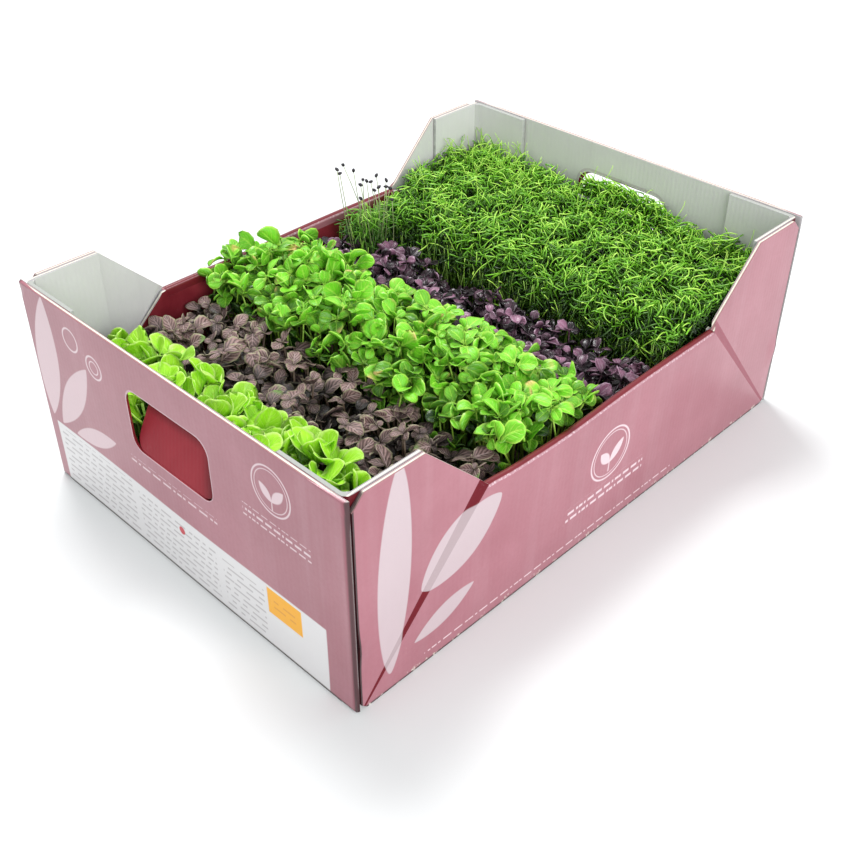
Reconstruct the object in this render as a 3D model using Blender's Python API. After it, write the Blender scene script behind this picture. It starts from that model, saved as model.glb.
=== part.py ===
"""A microgreens tray: an open board crate with six growing trays, each with a mat and a row of plants.

Metres, +Z up. X runs across the crate and Y along it. The origin is at the middle of the crate's underside.
Each row of plants stands in bunches. A bunch is a core of packed stems that its leaves or threads leave.
"""

import math

import bmesh
import bpy
import numpy as np
from mathutils import Matrix

# The crate
WIDTH = 0.288
LENGTH = 0.401
HEIGHT = 0.1454
LOW_HEIGHT = 0.1012
FLAT_TOP = 0.052
NOTCH = 0.0966
BOARD = 0.0026
GAP = 0.0003
CORNER_SLOT = 0.001
CORNER_CUT = 0.008
FOOT_CUT = 0.004
ANGLE_END_LEG = 0.050
ANGLE_FOLD = 0.003
LINING_STEP = 0.0008

# The hand holes and their flaps
HOLE_WIDTH = 0.074
HOLE_HEIGHT = 0.042
HOLE_MIDDLE = 0.0995
HOLE_RADIUS = 0.009
HOLE_SHIFT = 0.002
HAND_ROOM_X = 0.070  # plants this near the middle stand back from the hole, for the fingers
HAND_ROOM_Y = 0.0095
FLAP_WIDTH = 0.073
FLAP_LENGTH = 0.036
FLAP_LEAN = math.radians(28)
FLAP_RADIUS = 0.009
FLAP_INSET = 0.0005
ARC_STEPS = 4

# The growing trays and mats, one for each row
ROWS = 6
TRAY_CLEARANCE = 0.0018
TRAY_HEIGHT = 0.034
TRAY_WALL = 0.001
TRAY_TAPER = 0.0015
MAT_BELOW_RIM = 0.004
POCKET_DEPTH = 0.014
POCKET_WALL = 0.007

# The plants
SEED = 20
BUNCH_GAP = 0.0006
ROW_GAP = 0.0006
WALL_CLEARANCE = 0.0012
RIM_CLEARANCE = 0.0012
EDGE_CLEARANCE = 0.0005
ROOT_DEPTH = 0.004
CORE_SPREAD = 0.95
FLAP_SPREAD = 0.64
FLAP_SHIFT = 0.007
ROOT_SPREAD = 0.84
ROOT_FALL = 0.5
CORE_SQUARENESS = 0.7
CORE_RINGS = ((1.0, 0.60), (0.94, 0.90), (0.62, 1.0), (0.30, 1.0))
GOLDEN_ANGLE = math.pi * (3 - math.sqrt(5))
TRIES = 14
SHRINK = 0.94
TEST_STEPS = 4
DOME_EDGE = 0.6

# How far each piece may stray from its even place, in radians or in parts of its size
YAW_PLAY = 0.3
LEAF_TURN_PLAY = 0.7
LEAF_STEEP_PLAY = 0.2
LEAF_SIZE_PLAY = (0.85, 1.1)
STEM_RISE = (math.radians(80), math.radians(46))
STEM_TURN_PLAY = 0.4
STEM_STEEP_PLAY = 0.1
STEM_SIZE_PLAY = (0.75, 1.1)
WHORL_TURN_PLAY = 0.35
WHORL_SIZE_PLAY = (0.8, 1.1)
THREAD_TURN_PLAY = 0.8
THREAD_STEEP_PLAY = 0.25
THREAD_SIZE_PLAY = (0.7, 1.1)

# What fills a bunch of each kind. rise is how steep a piece stands in the middle and at the edge of a bunch.
ROUND_FILL = {"count": 10, "length": 0.046, "width": 0.034, "rise": (1.35, 0.75)}
POINTED_FILL = {"count": 13, "length": 0.034, "width": 0.025, "rise": (1.0, 0.18)}
OVAL_FILL = {"count": 5, "leaves": 4, "length": 0.029, "width": 0.020, "rise": (0.05, 0.75)}
OVAL_STEM = {"stem_length": 0.034, "radius": 0.0012}
SMALL_FILL = {"count": 14, "length": 0.029, "width": 0.018, "rise": (1.1, 0.2)}
THREAD_FILL = {"count": 34, "length": 0.036, "rise": (1.45, 0.35), "radii": (0.0007, 0.0004)}
CHIVE_FILL = {"count": 12, "length": 0.082, "rise": (1.5, 1.15), "radii": (0.0008, 0.0006)}
CHIVE_SEED = 0.0014
CHIVE_WIDTH = 0.040

# Derived places
INNER_X = WIDTH / 2 - BOARD - GAP
INNER_Y = LENGTH / 2 - BOARD - GAP
FREE_X = INNER_X - BOARD - GAP
FREE_Y = INNER_Y - BOARD - GAP
FLOOR_TOP = BOARD + GAP
ROW_PITCH = 2 * FREE_Y / ROWS
MAT_TOP = FLOOR_TOP + TRAY_HEIGHT - MAT_BELOW_RIM
POCKET_FLOOR = MAT_TOP - POCKET_DEPTH
HOLE_BOTTOM = HOLE_MIDDLE - HOLE_HEIGHT / 2


def clear_scene():
    for item in list(bpy.data.objects):
        bpy.data.objects.remove(item)


def make_material(name, color, roughness, metallic=0.0):
    material = bpy.data.materials.new(name)
    material.use_nodes = True
    shader = material.node_tree.nodes["Principled BSDF"]
    shader.inputs["Base Color"].default_value = (*color, 1.0)
    shader.inputs["Roughness"].default_value = roughness
    shader.inputs["Metallic"].default_value = metallic
    return material


def add_object(name, mesh, material):
    item = bpy.data.objects.new(name, mesh)
    item.data.materials.clear()
    item.data.materials.append(material)
    bpy.context.scene.collection.objects.link(item)
    return item


def mesh_of(name, points, faces):
    """A mesh with every face turned outwards."""
    mesh = bpy.data.meshes.new(name)
    mesh.from_pydata([tuple(map(float, point)) for point in points], [], faces)
    work = bmesh.new()
    work.from_mesh(mesh)
    bmesh.ops.recalc_face_normals(work, faces=work.faces)
    work.to_mesh(mesh)
    work.free()
    return mesh


# Board panels

def arc(middle, radius, start, turn):
    """Points along an arc, angles in radians."""
    return [
        (middle[0] + radius * math.cos(start + turn * step / ARC_STEPS),
         middle[1] + radius * math.sin(start + turn * step / ARC_STEPS))
        for step in range(ARC_STEPS + 1)
    ]


def rounded_rectangle(middle, width, height, radius):
    points = []
    for quarter, (side_x, side_y) in enumerate(((1, 1), (-1, 1), (-1, -1), (1, -1))):
        corner = (middle[0] + side_x * (width / 2 - radius), middle[1] + side_y * (height / 2 - radius))
        points += arc(corner, radius, quarter * math.pi / 2, math.pi / 2)
    return points


def plate(name, outline, holes, thickness, placement, material):
    """A flat sheet: an outline with holes in its own XY plane, thickened towards +Z, then placed."""
    work = bmesh.new()
    edges = []
    for loop in (outline, *holes):
        corners = [work.verts.new((x, y, 0.0)) for x, y in loop]
        edges += [work.edges.new((corners[i - 1], corners[i])) for i in range(len(corners))]
    bmesh.ops.triangle_fill(work, edges=edges, use_beauty=True, use_dissolve=False, normal=(0, 0, 1))
    raised = bmesh.ops.extrude_face_region(work, geom=list(work.faces))
    moved = [part for part in raised["geom"] if isinstance(part, bmesh.types.BMVert)]
    bmesh.ops.translate(work, verts=moved, vec=(0, 0, thickness))
    bmesh.ops.recalc_face_normals(work, faces=work.faces)
    mesh = bpy.data.meshes.new(name)
    work.to_mesh(mesh)
    work.free()
    item = add_object(name, mesh, material)
    item.matrix_world = placement
    return item


def standing(axis, offset):
    """Placement of a sheet that stands upright. Its outline's Y becomes +Z.

    For axis "y" its outline's X stays X, and the sheet thickens towards -Y from the offset.
    For axis "x" its outline's X becomes Y, and the sheet thickens towards +X from the offset.
    """
    if axis == "y":
        columns = ((1, 0, 0), (0, 0, 1), (0, -1, 0))
        origin = (0, offset, 0)
    else:
        columns = ((0, 1, 0), (0, 0, 1), (1, 0, 0))
        origin = (offset, 0, 0)
    matrix = Matrix([(*row, 0) for row in zip(*columns)] + [(0, 0, 0, 1)])
    return Matrix.Translation(origin) @ matrix


def make_floor(material):
    outline = [(-INNER_X, -INNER_Y), (INNER_X, -INNER_Y), (INNER_X, INNER_Y), (-INNER_X, INNER_Y)]
    plate("crate_floor", outline, (), BOARD, Matrix.Identity(4), material)


def make_end_wall(name, end, material):
    """end is -1 for the front wall and 1 for the back wall."""
    outline = [(-WIDTH / 2, 0), (WIDTH / 2, 0), (WIDTH / 2, HEIGHT), (-WIDTH / 2, HEIGHT)]
    hole = rounded_rectangle((end * HOLE_SHIFT, HOLE_MIDDLE), HOLE_WIDTH, HOLE_HEIGHT, HOLE_RADIUS)
    offset = LENGTH / 2 if end > 0 else BOARD - LENGTH / 2
    plate(name, outline, (hole,), BOARD, standing("y", offset), material)


def make_flap(name, end, material):
    """The tongue cut from the hand hole, bent inwards about the hole's lower edge at the wall's outer face."""
    outline = rounded_rectangle((0, FLAP_LENGTH / 2), FLAP_WIDTH, FLAP_LENGTH, FLAP_RADIUS)
    base = HOLE_BOTTOM + GAP + BOARD * math.sin(FLAP_LEAN)
    hinge = Matrix.Translation((end * HOLE_SHIFT, end * (LENGTH / 2 - FLAP_INSET), base))
    facing = Matrix.Rotation(0 if end < 0 else math.pi, 4, "Z")
    upright = Matrix.Rotation(math.pi / 2 - FLAP_LEAN, 4, "X")
    below = Matrix.Translation((0, 0, -BOARD))
    plate(name, outline, (), BOARD, hinge @ facing @ upright @ below, material)


def side_profile():
    """The side wall's outline along Y and Z, from one corner slot to the other."""
    end = LENGTH / 2 - BOARD - CORNER_SLOT
    half = [
        (end - FOOT_CUT, 0),
        (end, FOOT_CUT),
        (end, HEIGHT - CORNER_CUT),
        (end - CORNER_CUT, HEIGHT),
        (LENGTH / 2 - FLAT_TOP, HEIGHT),
        (LENGTH / 2 - NOTCH, LOW_HEIGHT),
    ]
    return half + [(-y, z) for y, z in reversed(half)]


def lining_profile():
    """The folded-over sheet: its slanted ends run along the creases, down to the corner angles."""
    top = LOW_HEIGHT - LINING_STEP
    top_end = LENGTH / 2 - NOTCH - BOARD
    foot_end = LENGTH / 2 - FLAT_TOP - GAP
    bend = top - (foot_end - top_end) * LOW_HEIGHT / NOTCH
    half = [(foot_end, FLOOR_TOP), (foot_end, bend), (top_end, top)]
    return half + [(-y, z) for y, z in reversed(half)]


def make_sides(outside, printed):
    for name, side in (("left", -1), ("right", 1)):
        wall_offset = WIDTH / 2 - BOARD if side > 0 else -WIDTH / 2
        plate(f"side_wall_{name}", side_profile(), (), BOARD, standing("x", wall_offset), outside)
        lining_offset = INNER_X - BOARD if side > 0 else -INNER_X
        plate(f"side_lining_{name}", lining_profile(), (), BOARD, standing("x", lining_offset), printed)


def make_corner_angle(name, side, end, material):
    """An L in plan, with a small slanted fold inside its corner."""
    outer_x = side * INNER_X
    outer_y = end * INNER_Y
    inner_x = outer_x - side * BOARD
    inner_y = outer_y - end * BOARD
    tip_x = outer_x - side * ANGLE_END_LEG
    tip_y = end * (LENGTH / 2 - FLAT_TOP)
    outline = [
        (outer_x, outer_y),
        (tip_x, outer_y),
        (tip_x, inner_y),
        (inner_x - side * ANGLE_FOLD, inner_y),
        (inner_x, inner_y - end * ANGLE_FOLD),
        (inner_x, tip_y),
        (outer_x, tip_y),
    ]
    plate(name, outline, (), HEIGHT - FLOOR_TOP, Matrix.Translation((0, 0, FLOOR_TOP)), material)


# Growing trays and mats

def row_middle(row):
    return -FREE_Y + ROW_PITCH * (row + 0.5)


def box_rings(half_x, half_y, levels):
    """Four corner points for each (inset, z) level of a rectangular box."""
    points = []
    for inset, z in levels:
        x, y = half_x - inset, half_y - inset
        points += [(-x, -y, z), (x, -y, z), (x, y, z), (-x, y, z)]
    return points


def make_tray(row, material):
    """A thin open tray whose walls lean outwards."""
    half_x = FREE_X - TRAY_CLEARANCE
    half_y = ROW_PITCH / 2 - TRAY_CLEARANCE
    top = FLOOR_TOP + TRAY_HEIGHT
    levels = (
        (TRAY_TAPER, FLOOR_TOP + GAP),
        (0, top),
        (TRAY_WALL, top),
        (TRAY_TAPER + TRAY_WALL, FLOOR_TOP + GAP + TRAY_WALL),
    )
    faces = [(0, 3, 2, 1), (12, 13, 14, 15)]
    for level in range(len(levels) - 1):
        for corner in range(4):
            following = (corner + 1) % 4
            low = 4 * level
            faces.append((low + corner, low + following, low + 4 + following, low + 4 + corner))
    name = f"growing_tray_{row + 1}"
    item = add_object(name, mesh_of(name, box_rings(half_x, half_y, levels), faces), material)
    item.location.y = row_middle(row)


def mat_half_sizes():
    inset = TRAY_CLEARANCE + TRAY_WALL + TRAY_TAPER + GAP
    return FREE_X - inset, ROW_PITCH / 2 - inset


def pocket_rectangle(x_range):
    """(x0, x1, y0, y1) of the plain hole that one bunch is rooted in, with y from the row's middle."""
    half_x, half_y = mat_half_sizes()
    x0 = max(x_range[0], -half_x) + POCKET_WALL
    x1 = min(x_range[1], half_x) - POCKET_WALL
    return x0, x1, POCKET_WALL - half_y, half_y - POCKET_WALL


def make_mat(row, x_ranges, material):
    """A block of fibre with one plain pocket for each bunch."""
    half_x, half_y = mat_half_sizes()
    outline = [(-half_x, -half_y), (half_x, -half_y), (half_x, half_y), (-half_x, half_y)]
    pockets = []
    for x_range in x_ranges:
        x0, x1, y0, y1 = pocket_rectangle(x_range)
        pockets.append([(x0, y0), (x1, y0), (x1, y1), (x0, y1)])
    bottom = FLOOR_TOP + 2 * GAP + TRAY_WALL
    work = bmesh.new()
    rings = {}
    for height, loops in ((bottom, [outline]), (MAT_TOP, [outline] + pockets), (POCKET_FLOOR, pockets)):
        rings[height] = [[work.verts.new((x, y, height)) for x, y in loop] for loop in loops]
    work.faces.new(rings[bottom][0])
    for loop in rings[POCKET_FLOOR]:
        work.faces.new(loop)
    top_edges = []
    for loop in rings[MAT_TOP]:
        top_edges += [work.edges.new((loop[i - 1], loop[i])) for i in range(4)]
    bmesh.ops.triangle_fill(work, edges=top_edges, use_beauty=True, use_dissolve=False, normal=(0, 0, 1))
    walls = [(rings[bottom][0], rings[MAT_TOP][0])]
    walls += list(zip(rings[POCKET_FLOOR], rings[MAT_TOP][1:]))
    for low, high in walls:
        for i in range(4):
            work.faces.new((low[i - 1], low[i], high[i], high[i - 1]))
    bmesh.ops.recalc_face_normals(work, faces=work.faces)
    mesh = bpy.data.meshes.new(f"growing_mat_{row + 1}")
    work.to_mesh(mesh)
    work.free()
    add_object(mesh.name, mesh, material).location.y = row_middle(row)


# Leaves and threads

def direction(yaw, rise):
    return np.array([math.cos(yaw) * math.cos(rise), math.sin(yaw) * math.cos(rise), math.sin(rise)])


def blade(root, yaw, rise, length, width, shape):
    """(points, faces) of one leaf: a bent, folded sheet of even thickness on a narrow stalk.

    shape holds stalk (the stalk's half width), stations (place along the leaf, part of the half width),
    cup (rise of the edges in parts of their width), arch (rise of the middle in parts of the length),
    wave (ripple of the edge in parts of the width) and thickness.
    """
    along = direction(yaw, rise)
    across = np.array([-math.sin(yaw), math.cos(yaw), 0.0])
    up = np.cross(along, across)

    def place(t, y, ripple=0.0):
        lift = shape["arch"] * length * 4 * t * (1 - t) + shape["cup"] * abs(y) + ripple
        return root + along * length * t + across * y + up * lift

    stalk = shape["stalk"]
    top = [place(0, -stalk), place(0, stalk)]
    for number, (t, part) in enumerate(shape["stations"]):
        half = width / 2 * part
        ripple = shape["wave"] * width * (-1) ** number
        top += [place(t, -half, ripple), place(t, 0), place(t, half, -ripple)]
    top.append(place(1, 0))
    tip = len(top) - 1
    first = 2
    last = tip - 3
    triangles = [(0, 1, first + 1), (0, first + 1, first), (1, first + 2, first + 1)]
    for low in range(first, last, 3):
        high = low + 3
        triangles += [(low, low + 1, high + 1), (low, high + 1, high)]
        triangles += [(low + 1, low + 2, high + 2), (low + 1, high + 2, high + 1)]
    triangles += [(last, last + 1, tip), (last + 1, last + 2, tip)]
    rim = [0, *range(first, tip, 3), tip, *range(last + 2, first, -3), 1]
    return thickened(top, triangles, rim, up * shape["thickness"])


def thickened(top, triangles, rim, step):
    """Closes a sheet with a copy of itself one step below, triangulated alike."""
    count = len(top)
    points = top + [point - step for point in top]
    faces = list(triangles)
    faces += [(a + count, c + count, b + count) for a, b, c in triangles]
    for here, following in zip(rim, rim[1:] + rim[:1]):
        faces += [(here, following, following + count), (here, following + count, here + count)]
    return points, faces


def thread(path, radii, sides=3):
    """(points, faces) of a thin stem along a few points, with flat ends."""
    path = np.array(path)
    along = path[-1] - path[0]
    along /= np.linalg.norm(along)
    helper = np.array([1.0, 0.0, 0.0]) if abs(along[0]) < 0.8 else np.array([0.0, 1.0, 0.0])
    across = np.cross(along, helper)
    across /= np.linalg.norm(across)
    other = np.cross(along, across)
    points = []
    for middle, radius in zip(path, radii):
        for side in range(sides):
            turn = 2 * math.pi * side / sides
            points.append(middle + radius * (math.cos(turn) * across + math.sin(turn) * other))
    faces = [tuple(range(sides)), tuple(range(len(points) - sides, len(points)))]
    for ring in range(len(path) - 1):
        for side in range(sides):
            a = ring * sides + side
            b = ring * sides + (side + 1) % sides
            faces += [(a, b, b + sides), (a, b + sides, a + sides)]
    return points, faces


def seed_head(middle, radius):
    """(points, faces) of an eight-sided seed."""
    points = [middle + radius * np.array(step) for step in
              ((1, 0, 0), (0, 1, 0), (-1, 0, 0), (0, -1, 0), (0, 0, 1), (0, 0, -1))]
    faces = [(i, (i + 1) % 4, 4) for i in range(4)] + [((i + 1) % 4, i, 5) for i in range(4)]
    return points, faces


# The room that each bunch may fill

class Cell:
    """The space of one bunch: a stretch of X, and in Y the room between two planes that lean with height."""

    def __init__(self, row, x_range, lean, height):
        self.middle_y = row_middle(row)
        self.x_range = x_range
        self.height = height
        self.lean = lean

    def y_range(self, z):
        """The row's walls lean by (front, back) metres for each metre above the growing tray's rim."""
        above = np.maximum(z - TRAY_HEIGHT, 0)
        low = self.middle_y - ROW_PITCH / 2 + self.lean[0] * above + ROW_GAP / 2
        high = self.middle_y + ROW_PITCH / 2 + self.lean[1] * above - ROW_GAP / 2
        return np.maximum(low, -FREE_Y), np.minimum(high, FREE_Y)

    def holds(self, points):
        x, y, z = np.asarray(points).T
        low, high = self.y_range(z)
        limit = np.where(z < LOW_HEIGHT + RIM_CLEARANCE, FREE_X - WALL_CLEARANCE, WIDTH / 2 - EDGE_CLEARANCE)
        limit = np.where(np.abs(y) > LENGTH / 2 - NOTCH - RIM_CLEARANCE, FREE_X - WALL_CLEARANCE, limit)
        fits = (np.abs(x) < limit) & (x > self.x_range[0]) & (x < self.x_range[1])
        fits &= (y > low) & (y < high) & (z < self.height) & (z > MAT_TOP + GAP)
        behind_flap = np.abs(x) < FLAP_WIDTH / 2 + HOLE_SHIFT + WALL_CLEARANCE
        flap_reach = FLAP_LENGTH * math.sin(FLAP_LEAN) + WALL_CLEARANCE
        behind_flap &= np.abs(y) > INNER_Y - flap_reach
        behind_flap &= (z > HOLE_BOTTOM - BOARD) & (z < HOLE_BOTTOM + FLAP_LENGTH)
        behind_hole = (np.abs(x) < HAND_ROOM_X) & (np.abs(y) > INNER_Y - HAND_ROOM_Y)
        in_fold = np.abs(x) + np.abs(y) > FREE_X + FREE_Y - ANGLE_FOLD - WALL_CLEARANCE
        return bool((fits & ~behind_flap & ~behind_hole & ~in_fold).all())


def edge_samples(points, faces):
    """Points spread along every face's edges."""
    points = np.array(points)
    ends = np.array([(face[i - 1], face[i]) for face in faces for i in range(len(face))])
    steps = np.linspace(0, 1, TEST_STEPS + 1)[:, None, None]
    return (points[ends[:, 0]] * (1 - steps) + points[ends[:, 1]] * steps).reshape(-1, 3)


class Bunch:
    """One bunch: its cell, its core and the leaves that are fused to the core.

    look holds the core's top, its number of sides and its roughness. A core behind a hand hole's flap is
    narrower than the others, and stands back from the flap.
    """

    def __init__(self, name, cell, look, rng):
        self.name = name
        self.cell = cell
        self.core_top, self.sides, self.rough = look
        self.rng = rng
        self.pieces = []
        x0, x1 = cell.x_range
        self.middle_x = (max(x0, -FREE_X) + min(x1, FREE_X)) / 2
        self.half_x = (min(x1, FREE_X) - max(x0, -FREE_X)) / 2
        flap_reach = FLAP_WIDTH / 2 + HOLE_SHIFT
        by_flap = abs(cell.middle_y) > FREE_Y - ROW_PITCH and x0 < flap_reach and x1 > -flap_reach
        self.spread = (CORE_SPREAD, FLAP_SPREAD if by_flap else CORE_SPREAD)
        self.shift = -math.copysign(FLAP_SHIFT, cell.middle_y) if by_flap else 0.0

    def half_y(self, z):
        low, high = self.cell.y_range(z)
        return (high - low) / 2

    def middle_y(self, z):
        low, high = self.cell.y_range(z)
        return (high + low) / 2 + self.shift

    def core(self):
        """Packed stems: a root block in the mat's pocket, a shoulder and a rough, spiky top."""
        x0, x1, y0, y1 = pocket_rectangle(self.cell.x_range)
        turns = 2 * np.pi * (np.arange(self.sides) + 0.5) / self.sides
        circle = np.stack([np.cos(turns), np.sin(turns)], axis=1)
        circle *= np.abs(circle).max(axis=1, keepdims=True) ** -CORE_SQUARENESS
        root_middle = np.array([(x0 + x1) / 2, self.cell.middle_y])
        root_halves = np.array([(x1 - x0) / 2 - GAP, (y1 - y0) / 2 - GAP])
        rings = [np.column_stack([root_middle + circle * root_halves, np.full(self.sides, z)])
                 for z in (POCKET_FLOOR + GAP, MAT_TOP + GAP)]
        for number, (part, level) in enumerate(CORE_RINGS):
            z = MAT_TOP + level * (self.core_top - MAT_TOP)
            middle = np.array([self.middle_x, self.middle_y(z)])
            halves = part * np.array([self.spread[0] * self.half_x, self.spread[1] * self.half_y(z)])
            lift = self.rough * self.rng.uniform(-1.0, 1.0, self.sides)
            rings.append(np.column_stack([middle + circle * halves, z + lift * (number > 0)]))
        points = list(np.concatenate(rings))
        points.append(np.array([self.middle_x, self.middle_y(self.core_top), self.core_top + self.rough]))
        faces = [tuple(range(self.sides))]
        for ring in range(len(rings) - 1):
            for side in range(self.sides):
                a = ring * self.sides + side
                b = ring * self.sides + (side + 1) % self.sides
                faces += [(a, b, b + self.sides), (a, b + self.sides, a + self.sides)]
        last = (len(rings) - 1) * self.sides
        tip = len(points) - 1
        faces += [(last + side, last + (side + 1) % self.sides, tip) for side in range(self.sides)]
        return points, faces

    def place_on_dome(self, number, count):
        """(root, outward yaw, distance from the middle) of one of count even places over the core's top."""
        reach = math.sqrt((number + 0.5) / count)
        yaw = number * GOLDEN_ANGLE + self.rng.uniform(-YAW_PLAY, YAW_PLAY)
        fall = (self.core_top - MAT_TOP) * ROOT_FALL * max(reach - DOME_EDGE, 0)
        z = self.core_top - self.rough - ROOT_DEPTH - fall
        square = max(abs(math.cos(yaw)), abs(math.sin(yaw))) ** -CORE_SQUARENESS
        root = np.array([
            self.middle_x + ROOT_SPREAD * self.spread[0] * self.half_x * reach * square * math.cos(yaw),
            self.middle_y(z) + ROOT_SPREAD * self.spread[1] * self.half_y(z) * reach * square * math.sin(yaw),
            z,
        ])
        return root, yaw, reach

    def try_piece(self, build):
        """Keeps the first of a few draws that stays inside the cell, each a little smaller than the last."""
        size = 1.0
        for _ in range(TRIES):
            points, faces = build(size)
            if self.cell.holds(edge_samples(points, faces)):
                self.pieces.append((points, faces))
                return points
            size *= SHRINK
        return None

    def add_leaves(self, count, length, width, rise, shape):
        """Leaves over the whole dome, steep in its middle and flat at its edge. rise holds (middle, edge)."""
        for number in range(count):
            root, yaw, reach = self.place_on_dome(number, count)

            def build(size):
                stray = self.rng.uniform(-LEAF_STEEP_PLAY, LEAF_STEEP_PLAY)
                steep = rise[0] + (rise[1] - rise[0]) * reach + stray
                turn = yaw + self.rng.uniform(-LEAF_TURN_PLAY, LEAF_TURN_PLAY)
                full = length * self.rng.uniform(*LEAF_SIZE_PLAY) * size
                return blade(root, turn, steep, full, width * self.rng.uniform(*LEAF_SIZE_PLAY) * size, shape)

            self.try_piece(build)

    def add_rosettes(self, count, leaves, stem_length, length, width, rise, shape, radius):
        """Thin stems, each with a whorl of leaves at its top."""
        for number in range(count):
            root, yaw, reach = self.place_on_dome(number, count)

            def stem(size):
                stray = self.rng.uniform(-STEM_STEEP_PLAY, STEM_STEEP_PLAY)
                steep = STEM_RISE[0] + (STEM_RISE[1] - STEM_RISE[0]) * reach + stray
                run = direction(yaw + self.rng.uniform(-STEM_TURN_PLAY, STEM_TURN_PLAY), steep)
                top = root + run * stem_length * self.rng.uniform(*STEM_SIZE_PLAY) * size
                return thread([root, top], (radius, radius))

            points = self.try_piece(stem)
            if points is None:
                continue
            top = np.mean(points[3:], axis=0) - np.array([0, 0, radius])
            for leaf in range(leaves):
                start = leaf * 2 * math.pi / leaves + yaw

                def build(size):
                    turn = start + self.rng.uniform(-WHORL_TURN_PLAY, WHORL_TURN_PLAY)
                    steep = self.rng.uniform(*rise)
                    full = length * self.rng.uniform(*WHORL_SIZE_PLAY) * size
                    wide = width * self.rng.uniform(*LEAF_SIZE_PLAY) * size
                    return blade(top, turn, steep, full, wide, shape)

                self.try_piece(build)

    def add_threads(self, count, length, rise, radii, seed_radius=0.0):
        """Thin stems over the whole dome, with a seed at the tip where seed_radius is given."""
        for number in range(count):
            root, yaw, reach = self.place_on_dome(number, count)

            def build(size):
                stray = self.rng.uniform(-THREAD_STEEP_PLAY, THREAD_STEEP_PLAY)
                steep = rise[0] + (rise[1] - rise[0]) * reach + stray
                turn = yaw + self.rng.uniform(-THREAD_TURN_PLAY, THREAD_TURN_PLAY)
                full = length * self.rng.uniform(*THREAD_SIZE_PLAY) * size
                return thread([root, root + direction(turn, steep) * full], radii)

            points = self.try_piece(build)
            if seed_radius and points is not None:
                tip = np.mean(points[-3:], axis=0)
                self.try_piece(lambda size: seed_head(tip, seed_radius * size))

    def fuse(self, material):
        """Joins the core and its leaves into one closed body."""
        core = add_object(self.name, mesh_of(self.name, *self.core()), material)
        loose = bpy.data.collections.new(f"{self.name}_leaves")
        bpy.context.scene.collection.children.link(loose)
        for number, (points, faces) in enumerate(self.pieces):
            name = f"{self.name}_leaf_{number}"
            loose.objects.link(bpy.data.objects.new(name, mesh_of(name, points, faces)))
        union = core.modifiers.new("fuse", "BOOLEAN")
        union.operation = "UNION"
        union.operand_type = "COLLECTION"
        union.collection = loose
        union.solver = "EXACT"
        graph = bpy.context.evaluated_depsgraph_get()
        joined = bpy.data.meshes.new_from_object(core.evaluated_get(graph))
        core.modifiers.clear()
        for leaf in list(loose.objects):
            bpy.data.objects.remove(leaf)
        bpy.data.collections.remove(loose)
        core.data = joined
        core.data.materials.clear()
        core.data.materials.append(material)
        keep_largest_shell(core.data)
        return core


def keep_largest_shell(mesh):
    """Drops loose scraps, and fills sealed hollows by dropping their walls."""
    work = bmesh.new()
    work.from_mesh(mesh)
    bmesh.ops.triangulate(work, faces=work.faces)
    unseen = set(work.verts)
    shells = []
    while unseen:
        stack = [unseen.pop()]
        shell = set(stack)
        while stack:
            for edge in stack.pop().link_edges:
                for vertex in edge.verts:
                    if vertex in unseen:
                        unseen.remove(vertex)
                        shell.add(vertex)
                        stack.append(vertex)
        shells.append(shell)
    largest = max(shells, key=len)
    bmesh.ops.delete(work, geom=[vertex for vertex in work.verts if vertex not in largest], context="VERTS")
    work.to_mesh(mesh)
    work.free()


ROUND_LEAF = {
    "stalk": 0.002,
    "stations": ((0.42, 0.72), (0.70, 1.0), (0.91, 0.72)),
    "cup": 0.30, "arch": 0.05, "wave": 0.02, "thickness": 0.0008,
}
POINTED_LEAF = {
    "stalk": 0.0012,
    "stations": ((0.42, 0.95), (0.74, 0.78)),
    "cup": 0.20, "arch": 0.06, "wave": 0.05, "thickness": 0.0008,
}
OVAL_LEAF = {
    "stalk": 0.0009,
    "stations": ((0.45, 0.92), (0.80, 0.82)),
    "cup": 0.22, "arch": 0.05, "wave": 0.0, "thickness": 0.0008,
}
SMALL_LEAF = {
    "stalk": 0.0009,
    "stations": ((0.40, 0.95), (0.75, 0.80)),
    "cup": 0.25, "arch": 0.05, "wave": 0.0, "thickness": 0.0007,
}


def fill_round_leaves(bunch):
    bunch.add_leaves(**ROUND_FILL, shape=ROUND_LEAF)


def fill_pointed_leaves(bunch):
    bunch.add_leaves(**POINTED_FILL, shape=POINTED_LEAF)


def fill_oval_leaves(bunch):
    bunch.add_rosettes(**OVAL_FILL, **OVAL_STEM, shape=OVAL_LEAF)


def fill_small_leaves(bunch):
    bunch.add_leaves(**SMALL_FILL, shape=SMALL_LEAF)


def fill_threads(bunch):
    bunch.add_threads(**THREAD_FILL)


def fill_chives(bunch):
    bunch.add_threads(**CHIVE_FILL, seed_radius=CHIVE_SEED)


def even_ranges(count, x0=-WIDTH / 2, x1=WIDTH / 2):
    """Splits a stretch of the width evenly, with a small gap between neighbours."""
    edges = np.linspace(max(x0, -FREE_X), min(x1, FREE_X), count + 1)
    edges[0], edges[-1] = x0, x1
    return [(edges[i] + BUNCH_GAP / 2, edges[i + 1] - BUNCH_GAP / 2) for i in range(count)]


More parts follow.
